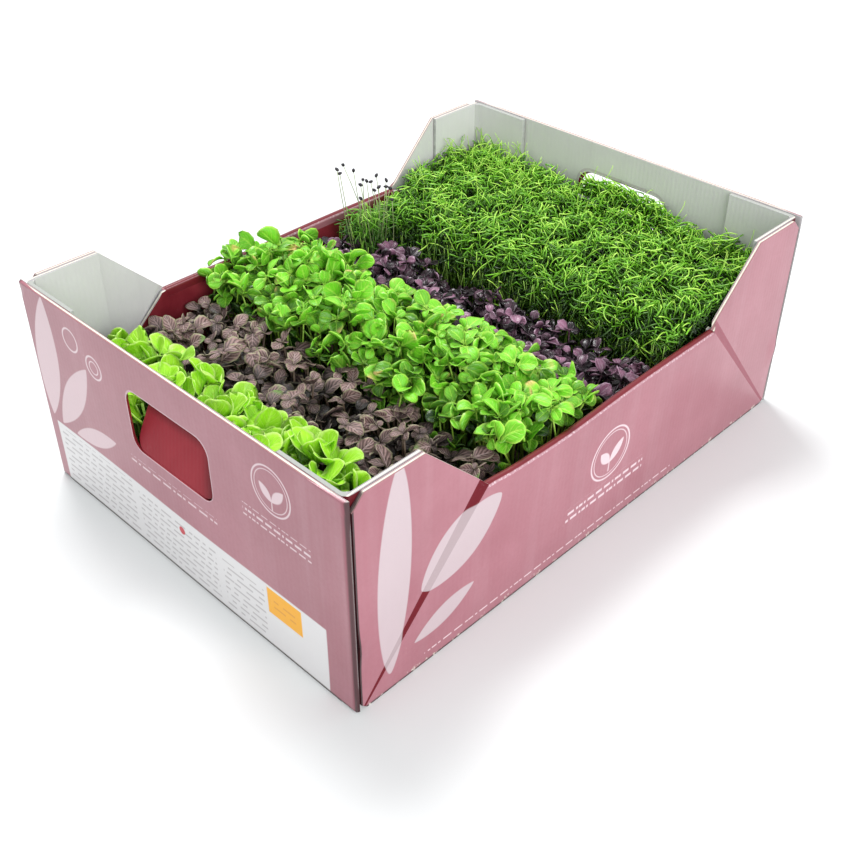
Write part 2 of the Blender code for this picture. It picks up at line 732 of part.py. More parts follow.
def row_plan():
    """For each row: (material, name, x ranges, lean of its two sides, height, look of the core, fill)."""
    chive_end = -FREE_X + CHIVE_WIDTH
    purple = even_ranges(3, chive_end, WIDTH / 2)
    chives = [(-WIDTH / 2, chive_end - BUNCH_GAP / 2)]
    return (
        [("pale_leaf", "round_leaf", even_ranges(4), (0, 0), 0.130, (0.088, 10, 0.004), fill_round_leaves)],
        [("brown_leaf", "brown_leaf", even_ranges(4), (0, -0.22), 0.102, (0.080, 10, 0.004),
          fill_pointed_leaves)],
        [("green_leaf", "oval_leaf", even_ranges(4), (-0.22, 0.08), 0.136, (0.094, 10, 0.004),
          fill_oval_leaves)],
        [("chive", "chive", chives, (0.08, -0.06), 0.158, (0.080, 8, 0.004), fill_chives),
         ("purple_leaf", "purple_leaf", purple, (0.08, -0.06), 0.098, (0.080, 10, 0.004), fill_small_leaves)],
        [("thread", "thread_row_5", even_ranges(4), (-0.06, 0), 0.130, (0.104, 14, 0.006), fill_threads)],
        [("thread", "thread_row_6", even_ranges(4), (0, 0), 0.136, (0.107, 14, 0.006), fill_threads)],
    )


def make_plants(materials):
    for row, groups in enumerate(row_plan()):
        for kind, name, ranges, lean, height, look, fill in groups:
            for number, x_range in enumerate(ranges):
                label = f"{name}_bunch_{number + 1}" if len(ranges) > 1 else f"{name}_bunch"
                cell = Cell(row, x_range, lean, height)
                rng = np.random.default_rng((SEED, row, len(groups), number))
                bunch = Bunch(label, cell, look, rng)
                fill(bunch)
                bunch.fuse(materials[kind])


def make_materials():
    return {
        "outside": make_material("printed_board", (0.42, 0.13, 0.17), 0.30),
        "lining": make_material("printed_lining", (0.22, 0.02, 0.035), 0.35),
        "inside": make_material("plain_board", (0.62, 0.65, 0.61), 0.45),
        "tray": make_material("dark_plastic", (0.03, 0.035, 0.03), 0.5),
        "mat": make_material("growing_fibre", (0.16, 0.11, 0.06), 0.95),
        "pale_leaf": make_material("pale_green_leaf", (0.30, 0.62, 0.04), 0.40),
        "brown_leaf": make_material("brown_purple_leaf", (0.13, 0.08, 0.075), 0.50),
        "green_leaf": make_material("green_leaf", (0.09, 0.40, 0.03), 0.40),
        "purple_leaf": make_material("dark_purple_leaf", (0.05, 0.02, 0.05), 0.30),
        "chive": make_material("chive_green", (0.08, 0.22, 0.03), 0.40),
        "thread": make_material("thread_green", (0.11, 0.38, 0.02), 0.45),
    }


def make_crate(materials):
    make_floor(materials["inside"])
    for name, end in (("front", -1), ("back", 1)):
        make_end_wall(f"end_wall_{name}", end, materials["outside"])
        make_flap(f"hand_hole_flap_{name}", end, materials["lining"])
        for side_name, side in (("left", -1), ("right", 1)):
            make_corner_angle(f"corner_angle_{name}_{side_name}", side, end, materials["inside"])
    make_sides(materials["outside"], materials["lining"])


def main():
    clear_scene()
    materials = make_materials()
    make_crate(materials)
    for row, groups in enumerate(row_plan()):
        make_tray(row, materials["tray"])
        make_mat(row, [x_range for group in groups for x_range in group[2]], materials["mat"])
    make_plants(materials)


main()
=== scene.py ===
"""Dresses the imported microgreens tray: board, print, growing trays, leaves and threads, and a plain stage.

Every surface is computed with numpy in the crate's own frame, in metres, with +Z up and +Y along the crate to
its back end.
"""
import functools
import math

import bmesh
import bpy
import numpy as np
from bpy.props import FloatProperty, FloatVectorProperty, IntProperty, PointerProperty
from mathutils import Matrix, Vector


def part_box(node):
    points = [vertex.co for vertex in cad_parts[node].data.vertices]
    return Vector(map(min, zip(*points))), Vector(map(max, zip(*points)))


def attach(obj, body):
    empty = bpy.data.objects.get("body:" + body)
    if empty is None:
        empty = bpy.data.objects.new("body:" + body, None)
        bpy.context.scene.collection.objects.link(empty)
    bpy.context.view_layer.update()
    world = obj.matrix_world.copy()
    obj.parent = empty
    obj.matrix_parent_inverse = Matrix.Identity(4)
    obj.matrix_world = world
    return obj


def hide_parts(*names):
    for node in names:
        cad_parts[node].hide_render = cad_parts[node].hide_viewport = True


bl_info = {
    "name": "Microgreens Tray",
    "version": (1, 0, 0),
    "blender": (4, 5, 0),
    "location": "View3D > Sidebar > Microgreens",
    "description": "Dresses a board crate that is filled with rows of microgreens",
    "category": "Object",
}

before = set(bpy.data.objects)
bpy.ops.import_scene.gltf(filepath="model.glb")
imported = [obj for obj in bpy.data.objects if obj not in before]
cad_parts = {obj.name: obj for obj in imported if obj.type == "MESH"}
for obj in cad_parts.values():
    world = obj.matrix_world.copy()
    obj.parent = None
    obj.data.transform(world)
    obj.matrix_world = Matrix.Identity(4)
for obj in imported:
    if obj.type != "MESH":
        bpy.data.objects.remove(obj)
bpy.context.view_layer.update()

# The crate's own sizes, read from the frame
END_LOW, END_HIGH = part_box("end_wall_front")
SIDE_LOW, SIDE_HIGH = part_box("side_wall_right")
LINING_LOW, LINING_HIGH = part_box("side_lining_right")
HALF_X = END_HIGH.x
HALF_Y = -END_LOW.y
CRATE_TOP = END_HIGH.z
BOARD = END_HIGH.y - END_LOW.y
GAP = SIDE_LOW.x - LINING_HIGH.x
LOW_TOP = LINING_HIGH.z + 0.0008
SIDE_END = SIDE_HIGH.y
INNER_X = HALF_X - BOARD - GAP
INNER_Y = HALF_Y - BOARD - GAP
FREE_X = INNER_X - BOARD - GAP
FREE_Y = INNER_Y - BOARD - GAP
FLOOR_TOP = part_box("crate_floor")[1].z + GAP
MAT_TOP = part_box("growing_mat_1")[1].z
ROW_PITCH = 2 * FREE_Y / 6
SIDES = {"left": -1, "right": 1}
ENDS = {"front": -1, "back": 1}

# What is finer on the real crate than on the solids
FLAT_END = 0.1485
NOTCH_FOOT = 0.1039
CORNER_CUT = 0.008
FOOT_CUT = 0.004
ANGLE_FOLD = 0.003
FOLD_SUM = INNER_X + INNER_Y - 2 * BOARD - ANGLE_FOLD
FOLD_RADIUS = (BOARD * 2 + GAP) / 2
FOLD_DROP = 0.0035
CREASE_STEP = 0.0022
HOLE = {"x": 0.002, "z": 0.0995, "width": 0.074, "height": 0.042, "radii": (0.008, 0.010), "corner": 0.009,
        "crush": 0.0022}
FLAP = {"half": 0.0365, "length": 0.036, "radius": 0.009, "lean": math.radians(28)}
BOWS = {-1: (0.038, 0.0014), 1: (-0.046, 0.0026)}
TURN = 2 * math.pi
FLUTES = TURN / 0.0034
BOARD_SHARP = math.radians(40)
ANGLE_SHARP = math.radians(25)
ROOT_DEPTH = 0.003
PLAY = 0.0006


def smoothstep(low, high, value):
    """0 below low, 1 above high, and an even S between them."""
    part = np.clip((value - low) / (high - low), 0, 1)
    return part * part * (3 - 2 * part)


# Meshes from arrays


def add_piece(name, batches, materials, nodes, sharp=None, bevel=0.0):
    """One object from batches of points and faces, in place of CAD nodes.

    A batch holds points (..., 3), faces (a list of arrays, one for each number of corners) and the material
    of each array of faces, and may hold uv (..., 2) and tone (...). A board also has sharp, the angle past which
    its edges stay sharp, and may have bevel, the rounding of its cut edges.
    """
    points, uvs, tone_and_shade_values, loops, totals, slots = [], [], [], [], [], []
    start = 0
    for batch in batches:
        points.append(batch["points"].reshape(-1, 3))
        count = len(points[-1])
        uvs.append(batch.get("uv", np.zeros((count, 2))).reshape(-1, 2))
        tone_and_shade_values.append(batch.get("tone_and_shade", np.zeros(count)).ravel())
        for faces, material in zip(batch["faces"], batch["material"]):
            loops.append((faces + start).ravel())
            totals.append(np.full(len(faces), faces.shape[1]))
            slots.append(np.full(len(faces), material))
        start += count
    points, uvs, tone_and_shade_values, loops, totals, slots = map(np.concatenate, (points, uvs, tone_and_shade_values, loops, totals, slots))
    mesh = bpy.data.meshes.new(name)
    mesh.vertices.add(len(points))
    mesh.vertices.foreach_set("co", points.astype(np.float32).ravel())
    mesh.loops.add(len(loops))
    mesh.loops.foreach_set("vertex_index", loops.astype(np.int32))
    mesh.polygons.add(len(totals))
    mesh.polygons.foreach_set("loop_start", np.concatenate([[0], np.cumsum(totals)[:-1]]).astype(np.int32))
    mesh.polygons.foreach_set("loop_total", totals.astype(np.int32))
    mesh.polygons.foreach_set("material_index", slots.astype(np.int32))
    mesh.update(calc_edges=True)
    mesh.validate()
    if "uv" in batches[0]:
        layer = mesh.uv_layers.new(name="Leaf")
        layer.data.foreach_set("uv", uvs[loops].astype(np.float32).ravel())
        mesh.attributes.new("tone_and_shade", "FLOAT", "POINT").data.foreach_set("value", tone_and_shade_values.astype(np.float32))
    mesh.polygons.foreach_set("use_smooth", np.ones(len(totals), bool))
    if sharp is not None:
        work = bmesh.new()
        work.from_mesh(mesh)
        bmesh.ops.recalc_face_normals(work, faces=work.faces)
        work.to_mesh(mesh)
        work.free()
        mesh.set_sharp_from_angle(angle=sharp)
    for material in materials:
        mesh.materials.append(material)
    piece = bpy.data.objects.new(name, mesh)
    bpy.context.scene.collection.objects.link(piece)
    if bevel:
        rounded = piece.modifiers.new("rounded edges", "BEVEL")
        rounded.width = bevel
        rounded.segments = 2
        rounded.limit_method = "ANGLE"
        rounded.angle_limit = math.radians(50)
    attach(piece, "root")
    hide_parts(*nodes)


def grid_quads(grid, cyclic=False):
    """The four corners of each cell of a grid of vertices. cyclic joins its last column to its first."""
    if cyclic:
        grid = np.concatenate([grid, grid[:, :1]], axis=1)
    return np.stack([grid[:-1, :-1], grid[1:, :-1], grid[1:, 1:], grid[:-1, 1:]], axis=-1).reshape(-1, 4)


def board_sheet(outer, inner, over=None, printed_over=None, crease=None, ends=2):
    """A board between two grids (columns, rows, 3) whose outlines are joined: a closed band round each column.

    over holds the points that lead from the outer grid's last row to the inner grid's last row. Materials are
    0 for the outer face, 1 for the inner face and 2 for the cut edges. printed_over marks the cells of over
    that belong to the outer face, crease the outer columns of material 3, and ends is the upright edges'
    material.
    """
    columns, rows = outer.shape[:2]
    over = np.zeros((columns, 0, 3)) if over is None else over
    band = np.concatenate([outer, over, inner[:, ::-1]], axis=1)
    length = band.shape[1]
    number = np.arange(columns * length).reshape(columns, length)
    tops = number[:, rows - 1:rows + over.shape[1] + 1]
    faces = [grid_quads(number[:, :rows]), grid_quads(number[:, rows + over.shape[1]:])]
    faces += [grid_quads(tops), grid_quads(number[:, [-1, 0]])]
    materials = [0, 1, 2, 2]
    for place, chosen, material in ((2, printed_over, 0), (0, crease, 3)):
        if chosen is not None:
            quads = faces[place].reshape(columns - 1, -1, 4)
            faces[place] = quads[~chosen].reshape(-1, 4)
            faces.append(quads[chosen].reshape(-1, 4))
            materials.append(material)
    far = number[:, ::-1][:, :rows]
    for column in (0, -1):
        faces.append(grid_quads(np.stack([number[column, :rows], far[column]], axis=0)))
        materials.append(ends)
        if over.shape[1]:
            faces.append(tops[column][None, :])
            materials.append(ends)
    return {"points": band, "faces": faces, "material": materials}


def ring_sheet(outer, inner):
    """A board with a hole: grids of rings (rings, points, 3), from the hole's edge to the outline.

    The cut edge (material 2) shows along the top. The print goes on over the lower edge, the hole's edge takes
    the flap's print (material 3) as painted shade, and the upright edges lie in the corner's shade (material 4).
    """
    rings, count = outer.shape[:2]
    number = np.arange(2 * rings * count).reshape(2, rings, count)
    sill, rim = grid_quads(number[:, 0], True), grid_quads(number[:, -1], True)
    top = (outer[-1, :, 2] > CRATE_TOP - 0.0001)
    top &= np.roll(top, -1)
    foot = (outer[-1, :, 2] < 0.0001)
    foot &= np.roll(foot, -1)
    faces = [grid_quads(number[0], True), grid_quads(number[1], True), sill]
    faces += [rim[top], rim[foot], rim[~(top | foot)]]
    return {"points": np.concatenate([outer, inner]), "faces": faces, "material": (0, 1, 3, 2, 0, 4)}


# Materials as expressions


class Wire:
    """A value in a material. Sums, differences, products and powers of it add Math nodes."""

    def __init__(self, paint, socket):
        self.paint = paint
        self.socket = socket

    def math(self, operation, *others, swap=False):
        values = (*others, self) if swap else (self, *others)
        return self.paint.add("ShaderNodeMath", {"operation": operation}, dict(enumerate(values)))

    def __add__(self, other):
        return self.math("ADD", other)

    def __sub__(self, other):
        return self.math("SUBTRACT", other)

    def __mul__(self, other):
        return self.math("MULTIPLY", other)

    def __pow__(self, other):
        return self.math("POWER", other)

    def __rsub__(self, other):
        return self.math("SUBTRACT", other, swap=True)

    def __abs__(self):
        return self.math("ABSOLUTE")

    __radd__ = __add__
    __rmul__ = __mul__

    def sine(self):
        return self.math("SINE")

    def sign(self):
        return self.math("SIGN")

    def least(self, other):
        return self.math("MINIMUM", other)

    def most(self, other):
        return self.math("MAXIMUM", other)

    def fade(self, low, high):
        """0 at low, 1 at high, and an even S between them. low may be the larger."""
        return self.paint.add("ShaderNodeMapRange", {"interpolation_type": "SMOOTHSTEP"},
                              {"Value": self, "From Min": low, "From Max": high})


class Paint:
    """A material under construction."""

    def __init__(self, name):
        self.material = bpy.data.materials.new(name)
        self.material.use_nodes = True
        self.tree = self.material.node_tree
        self.tree.nodes.clear()

    def add(self, kind, settings, inputs, output=0):
        """Adds a node: its settings first, then the values or links of its sockets."""
        node = self.tree.nodes.new(kind)
        for name, value in settings.items():
            setattr(node, name, value)
        for name, value in inputs.items():
            if isinstance(value, Wire):
                self.tree.links.new(value.socket, node.inputs[name])
            elif node.inputs[name].type == "RGBA":
                node.inputs[name].default_value = (*value[:3], 1)
            else:
                node.inputs[name].default_value = value
        return Wire(self, node.outputs[output]) if len(node.outputs) else None

    def parts(self, vector, axes):
        return [self.add("ShaderNodeSeparateXYZ", {}, {0: vector}, axis) for axis in axes]

    def place(self):
        """The object's own coordinates, as (vector, x, y, z)."""
        vector = self.add("ShaderNodeTexCoord", {}, {}, "Object")
        return vector, *self.parts(vector, "XYZ")

    def leaf_place(self):
        """(across, along, tone) of a leaf or stem, from its own UV map and attribute."""
        uv = self.add("ShaderNodeUVMap", {"uv_map": "Leaf"}, {})
        return *self.parts(uv, "XY"), self.add("ShaderNodeAttribute", {"attribute_name": "tone_and_shade"}, {}, "Fac")

    def mix(self, factor, first, second):
        """first where factor is 0, second where it is 1."""
        settings = {"data_type": "RGBA", "clamp_factor": True}
        return self.add("ShaderNodeMix", settings, {0: factor, 6: first, 7: second}, 2)

    def noise(self, vector, scale, detail, roughness, stretch=None):
        """Cloudy noise from 0 to 1, with scale spots to a metre. stretch squeezes it along an axis."""
        if stretch:
            vector = self.add("ShaderNodeVectorMath", {"operation": "MULTIPLY"}, {0: vector, 1: stretch})
        return self.add("ShaderNodeTexNoise", {},
                        {"Vector": vector, "Scale": scale, "Detail": detail, "Roughness": roughness})

    def finish(self, color, rough, height=None, depth=0.0002, **constants):
        """The shader: its changing colour, roughness and relief, and its constants."""
        inputs = {"Base Color": color, "Roughness": rough}
        inputs.update({name.replace("_", " "): value for name, value in constants.items()})
        if height is not None:
            relief = {"Height": height, "Distance": depth, "Strength": 1.0}
            inputs["Normal"] = self.add("ShaderNodeBump", {}, relief)
        shader = self.add("ShaderNodeBsdfPrincipled", {}, inputs)
        self.add("ShaderNodeOutputMaterial", {}, {"Surface": shader})
        return self.material


# Printed shapes: h runs to the right along a wall as seen from outside, v upwards

END_PRINT = {
    "leaves": (((-0.136, 0.052), (-0.118, 0.145), 0.0125), ((-0.126, 0.050), (-0.080, 0.112), 0.0095),
               ((-0.110, 0.050), (-0.062, 0.068), 0.0065)),
    "rings": (((-0.092, 0.127), 0.0075, 0.0012), ((-0.070, 0.118), 0.0075, 0.0012),
              ((-0.070, 0.118), 0.0042, 0.0008), ((0.088, 0.120), 0.0150, 0.0010),
              ((0.088, 0.120), 0.0128, 0.0005)),
    "sprout": (((0.088, 0.113), (0.098, 0.124), 0.0030), ((0.088, 0.113), (0.079, 0.122), 0.0030)),
    "stem": (0.0876, 0.0884, 0.107, 0.115),
    "rules": (((0.062, 0.116, 0.0900, 0.0985), 0.0042, 0.36, 820.0),
              ((-0.046, 0.036, 0.0655, 0.0695), 0.0040, 0.40, 560.0)),
    "strip": (-0.134, 0.123, -0.01, 0.048),
    "strip_rules": (((-0.130, -0.052, 0.004, 0.045), 0.0043, 0.34, 350.0),
                    ((-0.046, 0.030, 0.004, 0.043), 0.0043, 0.32, 410.0),
                    ((0.036, 0.072, 0.004, 0.041), 0.0043, 0.32, 300.0)),
    "dot": (-0.002, 0.0375),
    "sticker": (0.075, 0.103, 0.027, 0.046),
    "sticker_rules": ((0.080, 0.098, 0.032, 0.042), 0.0045, 0.30, 420.0),
}
SIDE_PRINT = {
    "leaves": (((-0.176, 0.012), (-0.166, 0.150), 0.0115, 0.6), ((-0.152, 0.056), (-0.094, 0.090), 0.0165, 0.7),
               ((-0.158, 0.022), (-0.112, 0.036), 0.0070)),
    "rings": (((0.006, 0.0600), 0.0185, 0.0012), ((0.006, 0.0600), 0.0160, 0.0006)),
    "sprout": (((0.006, 0.053), (0.018, 0.066), 0.0036), ((0.006, 0.053), (-0.004, 0.064), 0.0036)),
    "stem": (0.0055, 0.0065, 0.046, 0.055),
    "rules": (((-0.032, 0.044, 0.0270, 0.0380), 0.0052, 0.38, 700.0),
              ((-0.150, 0.080, 0.0060, 0.0090), 0.0030, 0.34, 640.0)),
}


def along_end(x, y):
    """How far to the right a place on an end wall is, seen from outside."""
    return x * y.sign() * -1.0


def inside_box(h, v, box, soft=0.0004):
    """1 inside a box (left, right, low, high) on a wall, with edges that fade over soft metres."""
    left, right, low, high = box
    wide = (abs(h - (left + right) / 2)).fade((right - left) / 2 + soft, (right - left) / 2 - soft)
    tall = (abs(v - (low + high) / 2)).fade((high - low) / 2 + soft, (high - low) / 2 - soft)
    return wide * tall


def inside_leaf(h, v, foot, tip, half, fullness=0.8):
    """1 inside a leaf shape from foot to tip.

    Its half width is half times the sine of pi times the part of its length, to the power of fullness.
    """
    run = (tip[0] - foot[0], tip[1] - foot[1])
    length = math.hypot(*run)
    along = ((h - foot[0]) * (run[0] / length) + (v - foot[1]) * (run[1] / length)) * (1 / length)
    aside = abs((h - foot[0]) * (-run[1] / length) + (v - foot[1]) * (run[0] / length))
    arch = ((along.most(0.0).least(1.0)) * math.pi).sine().most(0.0) ** fullness * half
    return (arch - aside).fade(-0.0005, 0.0005) * along.fade(0.0, 0.004) * along.fade(1.0, 0.996)


def from_point(h, v, point):
    """The distance from a point, by the sum of the squares."""
    return ((h - point[0]) ** 2.0 + (v - point[1]) ** 2.0) ** 0.5


def past_hole(h, z):
    """How far a place on an end wall lies outside its hand hole, in metres. It is negative inside."""
    radius = HOLE["corner"]
    wide = abs(h + HOLE["x"]) - (HOLE["width"] / 2 - radius)
    tall = abs(z - HOLE["z"]) - (HOLE["height"] / 2 - radius)
    return from_point(wide.most(0.0), tall.most(0.0), (0.0, 0.0)) - radius


def ring_mask(h, v, middle, radius, width):
    """1 on a thin circle."""
    return abs(from_point(h, v, middle) - radius).fade(width / 2 + 0.0003, width / 2 - 0.0003)


def rules(h, v, box, pitch, thickness, breaks):
    """1 on short level rules that fill a box, broken at uneven places. breaks is how often, to a metre."""
    phase = (v * (1 / pitch)).math("FRACT")
    lines = abs(phase - 0.5).fade(thickness / 2 + 0.04, thickness / 2 - 0.04)
    row = (v * (1 / pitch)).math("FLOOR")
    wobble = (h * breaks + row * 2.399).sine() + (h * breaks * 2.3 + row * 5.1).sine()
    return lines * wobble.fade(-0.62, -0.45) * inside_box(h, v, box)


def any_of(shape, h, v, rows):
    """1 where one of several shapes of a kind is 1. rows holds each one's own values."""
    return functools.reduce(Wire.most, [shape(h, v, *values) for values in rows])


def fine_marks(h, v, layout):
    """1 on a wall's circles, on its seed leaves with their stem, and on its rules."""
    marks = any_of(ring_mask, h, v, layout["rings"]).most(any_of(inside_leaf, h, v, layout["sprout"]))
    return marks.most(inside_box(h, v, layout["stem"])).most(any_of(rules, h, v, layout["rules"]))


def printed_base(paint, look, vector, along):
    """(colour, roughness, relief) of the glossy print: blotches, specks, faint flutes and scuffs in the cut
    edge's colour.
    """
    cloud = paint.noise(vector, 14.0, 3.0, 0.55)
    fine = paint.noise(vector, 420.0, 2.0, 0.6)
    streak = paint.noise(vector, 60.0, 3.0, 0.6, (1.0, 1.0, 0.06))
    color = paint.mix(cloud.fade(0.3, 0.75), look.print_color, look.print_light)
    color = paint.mix(streak.fade(0.45, 0.8) * 0.06, color, look.pale_print)
    color = paint.mix(fine.fade(0.35, 0.8) * 0.12, color, look.print_dark)
    scuff = paint.noise(vector, 95.0, 6.0, 0.75).fade(0.64, 0.74) * cloud.fade(0.45, 0.7)
    color = paint.mix(scuff * 0.30, color, look.edge)
    height = (along * FLUTES).sine() * 0.02 + fine * 0.06 + paint.noise(vector, 24.0, 3.0, 0.5) * 0.9
    rough = cloud * 0.12 + fine * 0.06 + scuff * 0.15 + 0.22
    return color, rough, height


def end_print(look):
    """Glossy print on the end walls: mauve with pale leaves, a pale strip of rules and a plain sticker."""
    paint = Paint("end_print")
    vector, x, y, z = paint.place()
    h = along_end(x, y)
    color, rough, height = printed_base(paint, look, vector, x)
    color = paint.mix(any_of(inside_leaf, h, z, END_PRINT["leaves"]) * 0.62, color, look.pale_print)
    color = paint.mix(fine_marks(h, z, END_PRINT) * 0.72, color, look.pale_print)
    strip = inside_box(h, z, END_PRINT["strip"], 0.0005)
    lines = any_of(rules, h, z, END_PRINT["strip_rules"]) * 0.55
    strip_color = paint.mix(lines, look.strip, (0.30, 0.27, 0.28))
    dot = from_point(h, z, END_PRINT["dot"]).fade(0.0030, 0.0025)
    strip_color = paint.mix(dot, strip_color, (0.55, 0.03, 0.05))
    sticker = inside_box(h, z, END_PRINT["sticker"])
    sticker_lines = rules(h, z, *END_PRINT["sticker_rules"]) * 0.5
    sticker_color = paint.mix(sticker_lines, look.sticker, (0.62, 0.20, 0.02))
    strip_color = paint.mix(sticker, strip_color, sticker_color)
    color = paint.mix(strip, color, strip_color)
    # Painted highlight: a pale line along the hand hole's edge.
    color = paint.mix(past_hole(h, z).fade(0.0013, 0.0004) * 0.4, color, look.pale_print)
    # Painted shade: the lower edge darkens as the shadow where the crate stands, and the upright ends darken
    # towards the rounded corners and into the corner gaps.
    color = paint.mix(z.fade(0.0022, 0.0006), color, look.gap_color)
    color = paint.mix(abs(x).fade(HALF_X - 0.0042, HALF_X - 0.0016) * 0.8, color, look.print_dark)
    color = paint.mix(abs(x).fade(HALF_X - 0.0022, HALF_X - 0.0009) * 0.9, color, look.gap_color)
    return paint.finish(color, rough + strip * 0.12, height + sticker * 0.35, 0.0004,
                        Coat_Weight=0.15, Coat_Roughness=0.15)


def side_print(look):
    """Glossy print on the side walls: mauve, pale leaves by the front corner, rubbed creases, painted light and
    shade.
    """
    paint = Paint("side_print")
    vector, x, y, z = paint.place()
    color, rough, height = printed_base(paint, look, vector, y)
    h = y * x.sign()
    # Painted shade: the print darkens towards one end of each wall, the front end of the right one.
    color = paint.mix(h.fade(-0.09, -0.17) * 0.18, color, look.print_dark)
    color = paint.mix(any_of(inside_leaf, h, z, SIDE_PRINT["leaves"]) * 0.75, color, look.side_pale)
    color = paint.mix(fine_marks(h, z, SIDE_PRINT) * 0.8, color, look.pale_print)
    speckle = paint.noise(vector, 700.0, 4.0, 0.7).fade(0.50, 0.62)
    low = abs(y).fade(NOTCH_FOOT + 0.002, NOTCH_FOOT)
    # A pale, speckled line along the low middle's fold: wear, and a painted highlight.
    fold = z.fade(LOW_TOP - 0.0024, LOW_TOP - 0.0016) * low
    color = paint.mix(fold * (speckle * 0.5 + 0.2), color, look.pale_print)
    # Painted shade: the fold's inner half takes the lining's deep print, as in the shade.
    inwards = z.fade(LOW_TOP - 0.0011, LOW_TOP - 0.0006).most(abs(x).fade(HALF_X - 0.0022, HALF_X - 0.0030))
    color = paint.mix(inwards * low, color, look.lining_color)
    # Painted shade: dark along the lower edge and at the upright ends, in the gaps.
    edges = z.fade(0.0018, 0.0005).most(abs(y).fade(SIDE_END - 0.0013, SIDE_END - 0.0007))
    color = paint.mix(edges, color, look.gap_color)
    rubbed = z.fade(0.0045, 0.0020) * paint.noise(vector, 160.0, 4.0, 0.7).fade(0.55, 0.66)
    color = paint.mix(rubbed * 0.8, color, look.edge)
    return paint.finish(color, rough, height, 0.0004, Coat_Weight=0.15, Coat_Roughness=0.15)


def crease_print(look):
    """The narrow slanted facet between two folds: deep print in the fold's shade, rubbed pale along it."""
    paint = Paint("crease_print")
    vector, x, y, z = paint.place()
    h = y * x.sign()
    cloud = paint.noise(vector, 60.0, 3.0, 0.6)
    specks = paint.noise(vector, 500.0, 4.0, 0.7).fade(0.62, 0.72) * 0.1
    rubbed = (any_of(inside_leaf, h, z, SIDE_PRINT["leaves"]) * 0.62).most(specks)
    near = paint.mix(cloud, (0.100, 0.004, 0.010), look.lining_color)
    far = paint.mix(cloud, look.print_color, look.print_light)
    color = paint.mix(h.fade(-0.02, 0.02) * 0.8, near, far)
    color = paint.mix(rubbed, color, look.side_pale)
    return paint.finish(color, cloud * 0.1 + 0.5, cloud, 0.0004, Specular_IOR_Level=0.15)


def lining_print(look):
    """Deep burgundy print on the folded-in linings and flaps, the outside's print as in shade, with light
    scuffs.
    """
    paint = Paint("lining_print")
    vector, x, y, z = paint.place()
    cloud = paint.noise(vector, 30.0, 3.0, 0.6)
    fine = paint.noise(vector, 520.0, 2.0, 0.6)
    color = paint.mix(cloud.fade(0.3, 0.75), look.lining_color, look.lining_light)
    color = paint.mix(paint.noise(vector, 160.0, 5.0, 0.7).fade(0.62, 0.85) * 0.10, color, look.pale_print)
    # Painted light: the flaps' tongues are painted brighter, as lit through the hand holes.
    tongue = abs(y).fade(INNER_Y - 0.040, INNER_Y - 0.030)
    color = paint.mix(tongue * 0.55, color, (0.340, 0.028, 0.040))
    # Painted shadow along each flap's upper and right edges, cast by the hole's edges.
    behind = HALF_Y - abs(y)
    right = (along_end(x, y) + behind).fade(0.022, 0.034)
    shade = (z + behind * 1.05).fade(0.107, 0.119).most(right * 0.8) * tongue
    color = paint.mix(shade * 0.8, color, (0.075, 0.006, 0.010))
    height = ((x + y) * FLUTES).sine() * 0.05 + fine * 0.10 + cloud * 0.5
    return paint.finish(color, cloud * 0.15 + 0.42, height, 0.0004, Specular_IOR_Level=0.22)


def board_inside(look):
    """The board's pale inside: greyish white, fibres, faint upright flutes, darker in clouds near the bottom."""
    paint = Paint("board_inside")
    vector, x, y, z = paint.place()
    cloud = paint.noise(vector, 22.0, 4.0, 0.6)
    fibre = paint.noise(vector, 900.0, 3.0, 0.7, (1.0, 1.0, 0.25))
    streak = paint.noise(vector, 120.0, 3.0, 0.6, (1.0, 1.0, 0.05))
    color = paint.mix(cloud.fade(0.25, 0.8), look.board_color, look.board_light)
    color = paint.mix(fibre.fade(0.45, 0.85) * 0.10, color, (0.50, 0.52, 0.47))
    color = paint.mix(streak.fade(0.50, 0.85) * 0.18, color, look.board_dark)
    # Painted shade in the slanted fold of each corner angle.
    folded = (abs(x) + abs(y)).fade(FOLD_SUM - 0.0004, FOLD_SUM) * z.fade(0.01, 0.02)
    color = paint.mix(folded * 0.7, color, look.board_dark)
    # A greyish lilac ring round each hand hole: the crushed edge, darkened as painted shade.
    ring = abs(past_hole(along_end(x, y), z) - 0.0034).fade(0.0012, 0.0006) * abs(x).fade(0.06, 0.05)
    color = paint.mix(ring * 0.6, color, (0.500, 0.430, 0.480))
    # Darker, in clouds, towards the bottom.
    color = paint.mix(z.fade(0.07, 0.01) * cloud * 0.30, color, (0.30, 0.30, 0.22))
    height = ((x + y) * FLUTES).sine() * 0.07 + fibre * 0.10 + streak * 0.12 + cloud * 0.3
    return paint.finish(color, cloud * 0.12 + 0.42, height, 0.0004, Coat_Weight=0.06, Coat_Roughness=0.25)


